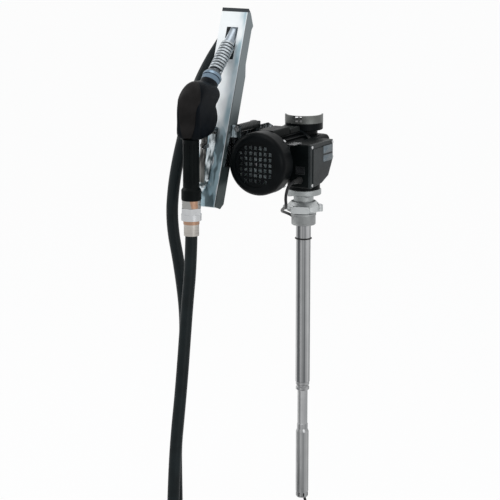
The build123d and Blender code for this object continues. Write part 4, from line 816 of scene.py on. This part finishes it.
@dataclass
class MainsLead:
    """The mains lead, from its gland down to its coil and plug."""

    diameter: float = 7.0
    coil: Coil = Coil(x=93.5, y=-7.5, points_per_turn=14)
    outer_r: float = 43.6
    inner_r: float = 35.4
    turns: int = 4
    leave: float = math.radians(-120)
    inward: Span = (0.8, 1.8)
    upward: Span = (1.75, 2.25)
    outward: Span = (2.7, 3.7)
    before_plug: Point = (84.5, -50.8, -788.0)
    length: float = 2.2

    def windings(self) -> list[Point]:
        """Turns of the coil: outside, inside, up one layer, and out again to the plug.

        Returns:
            The points, in millimetres.
        """
        low = LEAD_ROUTE[-1][2]
        start = self.coil.bearing(LEAD_ROUTE[-1])
        sweep = self.turns * FULL_TURN - (start - self.leave) % FULL_TURN
        count, step = self.coil.divide(sweep)
        points: list[Point] = []
        for index in range(1, count + 1):
            turn = index * step / FULL_TURN
            inside = part_way(turn, self.inward) - part_way(turn, self.outward)
            radius = self.outer_r + (self.inner_r - self.outer_r) * inside
            z = low + self.diameter * part_way(turn, self.upward)
            points.append(self.coil.point(start + index * step, step, radius, z))
        return points

    def build(self, shop: Workshop) -> bpy.types.Object:
        """Args:
            shop: Where its material comes from.

        Returns:
            The lead.
        """
        points = LEAD_ROUTE + self.windings() + [self.before_plug, PLUG_TAIL]
        lead = Cord("mains_lead_cord", self.diameter, LEAD_RUBBER, points).curve(shop)
        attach(lead, "pump")
        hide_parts("mains_lead", "lead_coil")
        self.diameter * MM
        return lead


def spring_mesh(wire_r: float, flat: float, coil_r: float, rise: float,
                turns: int) -> bmesh.types.BMesh:
    """Spin a wire's section into a spring that climbs Z, from sizes in millimetres.

    Args:
        wire_r: Radius of the wire.
        flat: Height of the section as a share of its width, over 1 for a tall one.
        coil_r: Radius of the coil at the wire's middle.
        rise: Height of all the turns.
        turns: Number of turns.

    Returns:
        The spring, in metres, with closed ends.
    """
    mesh = bmesh.new()
    section = bmesh.ops.create_circle(mesh, segments=WIRE_SIDES, radius=wire_r * MM)
    turn = Matrix.Diagonal((1, 1, flat, 1)) @ Matrix.Rotation(QUARTER_TURN, 4, "X")
    move = Matrix.Translation((coil_r * MM, 0, 0))
    bmesh.ops.transform(mesh, matrix=move @ turn, verts=section["verts"])
    steps = turns * STEPS_PER_TURN
    bmesh.ops.spin(
        mesh, geom=mesh.verts[:] + mesh.edges[:], cent=(0, 0, 0), axis=(0, 0, 1),
        dvec=(0, 0, rise * MM / steps), angle=FULL_TURN * turns, steps=steps,
    )
    bmesh.ops.holes_fill(mesh, edges=[e for e in mesh.edges if e.is_boundary])
    return mesh


@dataclass
class BypassSpring:
    """Spring behind the bypass poppet, built at one length, though the real one shortens as the
    poppet lifts.
    """

    wire_r: float = 1.0
    coil_r: float = 6.0
    turns: int = 3
    end_gap: float = 0.1

    def build(self, shop: Workshop) -> bpy.types.Object:
        """Lay the spring along X where its solid is.

        Args:
            shop: Where its material comes from.

        Returns:
            The spring.
        """
        low, high = (Vector(corner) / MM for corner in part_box("bypass_spring"))
        middle = (low + high) / 2
        inset = self.wire_r + self.end_gap
        first, last = low.x + inset, high.x - inset
        mesh = spring_mesh(self.wire_r, 1.0, self.coil_r, last - first, self.turns)
        place = Matrix.Translation(metres((first, middle.y, middle.z)))
        turn = Matrix.Rotation(QUARTER_TURN, 4, "Y")
        bmesh.ops.transform(mesh, matrix=place @ turn, verts=mesh.verts)
        bmesh.ops.recalc_face_normals(mesh, faces=mesh.faces)
        spring = shop.piece("bypass_coil", mesh, WORKS_STEEL)
        ends = (metres((x, middle.y, middle.z)) for x in (first, last))
        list(ends)
        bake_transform(spring)
        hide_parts("bypass_spring")
        return spring


@dataclass
class SpoutGuard:
    """Spring of round wire on the spout."""

    wire_r: float = 2.6
    flat: float = 1.3
    spout_r: float = 12.0
    start: float = 20.6
    pitch: float = 8.4
    turns: int = 10

    def build(self, shop: Workshop) -> bpy.types.Object:
        """Spin a wire section up the spout.

        Args:
            shop: Where its material comes from.

        Returns:
            The spring.
        """
        coil_r = self.spout_r + self.wire_r
        rise = self.pitch * self.turns
        mesh = spring_mesh(self.wire_r, self.flat, coil_r, rise, self.turns)
        bmesh.ops.transform(mesh, matrix=on_spout(self.start), verts=mesh.verts)
        bmesh.ops.recalc_face_normals(mesh, faces=mesh.faces)
        spring = shop.piece("spout_guard", mesh, WIRE_STEEL)
        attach(spring, "pump")
        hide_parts("spout_wire")
        return spring


def smooth_loop(corners: tuple[Span, ...], steps: int) -> list[Span]:
    """Run a closed Catmull-Rom curve through corner points.

    Args:
        corners: Points that the curve passes through.
        steps: Points made for each corner.

    Returns:
        The curve's points.
    """
    made: list[Span] = []
    count = len(corners)
    for index in range(count):
        before, here, after, later = (
            Vector(corners[(index + shift) % count]) for shift in (-1, 0, 1, 2))
        for step in range(steps):
            t = step / steps
            bend = 2 * before - 5 * here + 4 * after - later
            twist = 3 * here - before - 3 * after + later
            point = here + ((after - before) * t + bend * t * t + twist * t ** 3) * 0.5
            made.append((point.x, point.y))
    return made


def join_rows(mesh: bmesh.types.BMesh, rows: list[list[bmesh.types.BMVert]],
              closed: bool) -> None:
    """Fill between rows of vertices with quads.

    Args:
        mesh: Where the faces go.
        rows: Rows of equal length.
        closed: True if each row is a loop.
    """
    for low, high in zip(rows, rows[1:]):
        last = len(low) if closed else len(low) - 1
        for index in range(last):
            after = (index + 1) % len(low)
            mesh.faces.new((low[index], low[after], high[after], high[index]))


@dataclass
class NozzleHead:
    """Rounded moulding of the nozzle's body and the bulb-shaped cover on its front.

    The outline holds corners of the body's side as Y and Z, from the grip up its front and back
    down. The cover's widths are half widths at shares of its length along that outline.
    """

    middle_x: float = -115.0
    half_width: float = 31.0
    core: Span = (-305.0, 302.0)
    depth_share: float = 0.86
    depth_power: float = 4.0
    top_share: float = 0.5
    low_share: float = 0.84
    height_power: float = 2.2
    slices: int = 24
    steps_per_corner: int = 4
    outline: tuple[Span, ...] = (
        (-350, 235), (-351, 268), (-351, 300), (-348, 325), (-341, 345), (-328, 360),
        (-312, 366), (-296, 366), (-278, 364), (-261, 359), (-252, 350), (-257, 336),
        (-268, 320), (-272, 308), (-267, 293), (-264, 278), (-267, 262), (-276, 248),
        (-293, 237), (-322, 232.5),
    )
    cover_rows: int = 25
    cover_out: float = 1.8
    cover_in: float = -1.0
    rim_out: float = 0.55
    rim_from: float = 0.97
    cover_strips: int = 10
    strip: float = 0.18
    cover_widths: tuple[Span, ...] = (
        (0, 3), (0.02, 9), (0.05, 13.5), (0.1, 17.5), (0.17, 20.5), (0.33, 23), (0.42, 26),
        (0.5, 29), (0.58, 30.3), (0.67, 29), (0.75, 26), (0.83, 21), (0.92, 13), (0.97, 7),
        (1, 2),
    )
    neck_r: float = 21.5
    neck_length: float = 42.0
    neck_gap: float = 0.2
    neck_rim: float = 2.0
    pivot: Span = (-277.0, 244.0)
    slot: Point = (18.4, 25.0, 27.0)
    pin_r: float = 3.1
    pin_past: float = 2.0

    def pull(self, x: float, share: float, power: float) -> float:
        """How much of its distance from the core a point keeps at x."""
        edge = max(0.0, 1 - abs(x / self.half_width) ** power) ** (1 / power)
        return share + (1 - share) * edge

    def skin(self, x: float, y: float, z: float) -> Vector:
        """Pull an outline point towards the core as it nears a side.

        Args:
            x: Distance from the nozzle's middle.
            y: The point's Y on the outline.
            z: The point's Z on the outline.

        Returns:
            The place, in metres.
        """
        depth = self.pull(x, self.depth_share, self.depth_power)
        share = self.top_share if z > self.core[1] else self.low_share
        height = self.pull(x, share, self.height_power)
        near_y = self.core[0] + (y - self.core[0]) * depth
        near_z = self.core[1] + (z - self.core[1]) * height
        return Vector((self.middle_x + x, near_y, near_z)) * MM

    def add_neck(self, mesh: bmesh.types.BMesh) -> None:
        """Add the sleeve under the spout's collar.

        Args:
            mesh: Where the sleeve goes, still empty.
        """
        bmesh.ops.create_cone(
            mesh, cap_ends=True, segments=48, radius1=self.neck_r * MM,
            radius2=self.neck_r * MM, depth=self.neck_length * MM,
        )
        rim = [e for e in mesh.edges if e.calc_face_angle(0) > 1]
        bmesh.ops.bevel(
            mesh, geom=rim, offset=self.neck_rim * MM, segments=3, profile=0.5,
            affect="EDGES", material=-1,
        )
        place = on_spout(-self.neck_length / 2 - self.neck_gap)
        bmesh.ops.transform(mesh, matrix=place, verts=mesh.verts)

    def room(self) -> bpy.types.Object:
        """Shape of the lever's slot and pin, to be cut out of the body.

        Returns:
            The shape, as an object that is removed after the cut.
        """
        mesh = bmesh.new()
        box = bmesh.ops.create_cube(mesh, size=MM)
        bmesh.ops.scale(mesh, vec=Vector(self.slot), verts=box["verts"])
        pin = bmesh.ops.create_cone(
            mesh, cap_ends=True, segments=32, radius1=self.pin_r * MM,
            radius2=self.pin_r * MM, depth=2 * (self.half_width + self.pin_past) * MM,
        )
        turn = Matrix.Rotation(QUARTER_TURN, 4, "Y")
        bmesh.ops.transform(mesh, matrix=turn, verts=pin["verts"])
        place = Matrix.Translation(metres((self.middle_x, *self.pivot)))
        bmesh.ops.transform(mesh, matrix=place, verts=mesh.verts)
        return to_object("lever_room", mesh)

    def cut(self, body: bpy.types.Object) -> None:
        """Cut the lever's room out of the body.

        Args:
            body: What is cut.
        """
        tool = self.room()
        step = body.modifiers.new("lever", "BOOLEAN")
        step.operation = "DIFFERENCE"
        step.solver = "EXACT"
        step.use_self = True
        step.object = tool
        shape = body.evaluated_get(bpy.context.evaluated_depsgraph_get())
        data = bpy.data.meshes.new_from_object(shape)
        body.modifiers.clear()
        old = body.data
        body.data = data
        bpy.data.meshes.remove(old)
        bpy.data.objects.remove(tool)

    def body(self, shop: Workshop) -> bpy.types.Object:
        """Make the body.

        Args:
            shop: Where its material comes from.

        Returns:
            The body.
        """
        mesh = bmesh.new()
        self.add_neck(mesh)
        loop = smooth_loop(self.outline, self.steps_per_corner)
        rows: list[list[bmesh.types.BMVert]] = []
        for index in range(self.slices + 1):
            x = self.half_width * math.sin(math.pi * (index / self.slices - 0.5))
            rows.append([mesh.verts.new(self.skin(x, y, z)) for y, z in loop])
        join_rows(mesh, rows, True)
        mesh.faces.new(rows[0][::-1])
        mesh.faces.new(rows[-1])
        bmesh.ops.recalc_face_normals(mesh, faces=mesh.faces)
        body = shop.piece("nozzle_shell", mesh, NOZZLE_PLASTIC)
        self.cut(body)
        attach(body, "pump")
        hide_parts("nozzle_body")
        return body

    def width(self, share: float) -> float:
        """Half width of the cover at a share of its length.

        Args:
            share: How far along the cover, from 0 to 1.

        Returns:
            The half width, in millimetres.
        """
        for (s0, w0), (s1, w1) in zip(self.cover_widths, self.cover_widths[1:]):
            if share <= s1:
                return w0 + (w1 - w0) * (share - s0) / (s1 - s0)
        return self.cover_widths[-1][1]

    def cover(self, shop: Workshop) -> bpy.types.Object:
        """Make the cover that wraps the body's front.

        Args:
            shop: Where its material comes from.

        Returns:
            The cover.
        """
        front = smooth_loop(self.outline, self.steps_per_corner)[:self.cover_rows]
        mesh = bmesh.new()
        layers: list[list[list[bmesh.types.BMVert]]] = []
        inner = [self.strip * (i - self.cover_strips / 2) for i in range(self.cover_strips + 1)]
        across = [-1.0, -self.rim_from, *inner, self.rim_from, 1.0]
        for lift in (self.cover_out, self.cover_in):
            rows: list[list[bmesh.types.BMVert]] = []
            for index, (y, z) in enumerate(front):
                ahead = Vector(front[min(index + 1, len(front) - 1)])
                way = (ahead - Vector(front[max(index - 1, 0)])).normalized()
                half = self.width(index / (len(front) - 1))
                row = []
                for share in across:
                    rim = abs(share) == 1.0 or index in (0, len(front) - 1)
                    out = lift * self.rim_out if rim and lift > 0 else lift
                    row.append(mesh.verts.new(
                        self.skin(half * share, y - way.y * out, z + way.x * out)))
                rows.append(row)
            join_rows(mesh, rows, False)
            layers.append(rows)
        edges = [[rows[0], [r[-1] for r in rows], rows[-1][::-1], [r[0] for r in rows][::-1]]
                 for rows in layers]
        for top, low in zip(*edges):
            join_rows(mesh, [top, low], False)
        bmesh.ops.recalc_face_normals(mesh, faces=mesh.faces)
        cover = shop.piece("nozzle_front", mesh, COVER_PLASTIC)
        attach(cover, "pump")
        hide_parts("nozzle_cover")
        return cover


@dataclass
class AirBaffle:
    """Flat ring on the rear shield, behind the fan."""

    outer_r: float = 70.5
    inner_r: float = 20.0
    y0: float = -201.4
    y1: float = -200.0
    axis_z: float = 170.0
    steps: int = 96

    def build(self, shop: Workshop) -> bpy.types.Object:
        """Spin the ring's section round the motor's axis.

        Args:
            shop: Where its material comes from.

        Returns:
            The ring.
        """
        mesh = bmesh.new()
        corners = ((self.inner_r, self.y0), (self.outer_r, self.y0),
                   (self.outer_r, self.y1), (self.inner_r, self.y1))
        verts = [mesh.verts.new(metres((r, y, self.axis_z))) for r, y in corners]
        edges = [mesh.edges.new((verts[i], verts[(i + 1) % 4])) for i in range(4)]
        bmesh.ops.spin(
            mesh, geom=verts + edges, cent=metres((0, 0, self.axis_z)), axis=(0, 1, 0),
            dvec=(0, 0, 0), angle=FULL_TURN, steps=self.steps, use_merge=True,
        )
        bmesh.ops.recalc_face_normals(mesh, faces=mesh.faces)
        ring = shop.piece("air_baffle", mesh, FAN_PLASTIC)
        for polygon in ring.data.polygons:
            polygon.use_smooth = False
        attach(ring, "pump")
        return ring


@dataclass
class LidPlates:
    """Two bare plates on the terminal box's lid."""

    face_x: float = 106.0
    y0: float = -99.0
    y1: float = -53.0
    heights: tuple[Span, ...] = ((185.0, 203.0), (165.5, 181.0))
    thickness: float = 0.5
    corner_r: float = 1.5

    def build(self, shop: Workshop) -> bpy.types.Object:
        """Make both plates as one piece.

        Args:
            shop: Where their material comes from.

        Returns:
            The plates.
        """
        mesh = bmesh.new()
        for low, high in self.heights:
            made = bmesh.ops.create_cube(mesh, size=1.0)
            first = metres((self.face_x, self.y0, low))
            last = metres((self.face_x + self.thickness, self.y1, high))
            place = Matrix.Translation((first + last) / 2) @ Matrix.Diagonal((*(last - first), 1))
            bmesh.ops.transform(mesh, matrix=place, verts=made["verts"])
        through = [e for e in mesh.edges if abs(e.verts[0].co.x - e.verts[1].co.x) > 0.1 * MM]
        bmesh.ops.bevel(
            mesh, geom=through, offset=self.corner_r * MM, segments=4, profile=0.5,
            affect="EDGES", material=-1,
        )
        plates = shop.piece("lid_plates", mesh, BARE_PLATE)
        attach(plates, "pump")
        return plates


@dataclass(frozen=True)
class Lamp:
    """Soft square lamp, with its places and side in metres and its power in watts."""

    name: str
    place: Point
    aim: Point
    size: float
    power: float

    def hang(self) -> None:
        """Hang the lamp and point it at its aim."""
        data = bpy.data.lights.new(self.name, "AREA")
        data.size = self.size
        data.energy = self.power
        made = link(self.name, data)
        made.location = self.place
        way = Vector(self.place) - Vector(self.aim)
        made.rotation_euler = way.to_track_quat("Z", "Y").to_euler()


@dataclass
class Studio:
    """Camera, lamps, pale floor and world."""

    eye: Point = (2290.8, -4229.9, 945.2)
    azimuth: float = 30.0
    elevation: float = 12.0
    lens: float = 144.0
    sensor: float = 36.0
    far: float = 200.0
    floor_z: float = -802.3
    floor_size: float = 60.0
    floor_colour: Colour = (0.86, 0.86, 0.86)
    floor_white: float = 0.95
    sky: Colour = (0.9, 0.95, 1.0)
    sky_strength: float = 0.55
    lamps: tuple[Lamp, ...] = (
        Lamp("key", (-3.0, -1.2, 1.9), (-0.1, -0.2, 0.0), 1.4, 34),
        Lamp("fill", (2.8, -1.6, 0.6), (0.0, 0.0, -0.1), 1.6, 22),
        Lamp("top", (0.2, -0.6, 2.8), (0.0, -0.1, 0.2), 1.8, 20),
    )

    def camera(self) -> None:
        """Put the camera where the photograph was taken from."""
        data = bpy.data.cameras.new("camera")
        data.lens = self.lens
        data.sensor_width = self.sensor
        data.clip_end = self.far
        made = link("camera", data)
        made.location = metres(self.eye)
        tilt = math.radians(90 - self.elevation)
        made.rotation_euler = (tilt, 0, math.radians(self.azimuth))
        bpy.context.scene.camera = made

    def white_rays(self, recipe: Recipe) -> Tone:
        """1 on the rays that should see a white background.

        Args:
            recipe: Tree that the mask goes into.

        Returns:
            The mask.
        """
        camera, glossy, through = (recipe.node("LightPath", out=name) for name in (
            "Is Camera Ray", "Is Glossy Ray", "Is Transmission Ray"))
        return (camera + glossy + through).ramp(0.0, 1.0)

    def floor(self) -> None:
        """Lay a pale floor that renders white and keeps the pump's shadow."""
        recipe = Recipe(bpy.data.materials.new("pale_floor"))
        white = recipe.node("Emission", values={"Color": WHITE, "Strength": 1.0})
        matt = recipe.node(
            "BsdfPrincipled", values={"Base Color": self.floor_colour, "Roughness": 0.9})
        amount = self.white_rays(recipe) * self.floor_white
        recipe.close(recipe.node("MixShader", values={0: amount, 1: matt, 2: white}))
        mesh = bmesh.new()
        bmesh.ops.create_grid(mesh, x_segments=1, y_segments=1, size=self.floor_size / 2)
        down = Matrix.Translation((0, 0, self.floor_z * MM))
        bmesh.ops.transform(mesh, matrix=down, verts=mesh.verts)
        made = to_object("floor", mesh)
        made.data.materials.append(recipe.owner)

    def world(self) -> None:
        """Give a white background and a soft, slightly blue light."""
        recipe = Recipe(bpy.data.worlds.new("studio"))
        bpy.context.scene.world = recipe.owner
        white = recipe.node("Background", values={"Color": WHITE, "Strength": 1.0})
        values = {"Color": self.sky, "Strength": self.sky_strength}
        soft = recipe.node("Background", values=values)
        mixed = recipe.node("MixShader", values={0: self.white_rays(recipe), 1: soft, 2: white})
        recipe.close(mixed, "OutputWorld")

    def build(self) -> None:
        """Set up everything that isn't the pump."""
        self.floor()
        self.world()
        for lamp in self.lamps:
            lamp.hang()
        bpy.context.scene.view_settings.view_transform = "Standard"


def main() -> None:
    """Build the scene in order."""
    logging.basicConfig(level=logging.INFO, format="%(name)s: %(message)s")
    shop = Workshop()
    studio = Studio()
    studio.camera()
    PutAwayHose().build(shop)
    MainsLead().build(shop)
    SpoutGuard().build(shop)
    BypassSpring().build(shop)
    nozzle = NozzleHead()
    nozzle.body(shop)
    nozzle.cover(shop)
    AirBaffle().build(shop)
    LidPlates().build(shop)
    for finish, nodes in DRESSED_NODES.items():
        for node in nodes:
            shop.dress(node, finish)
    studio.build()


if __name__ == "__main__":
    main()
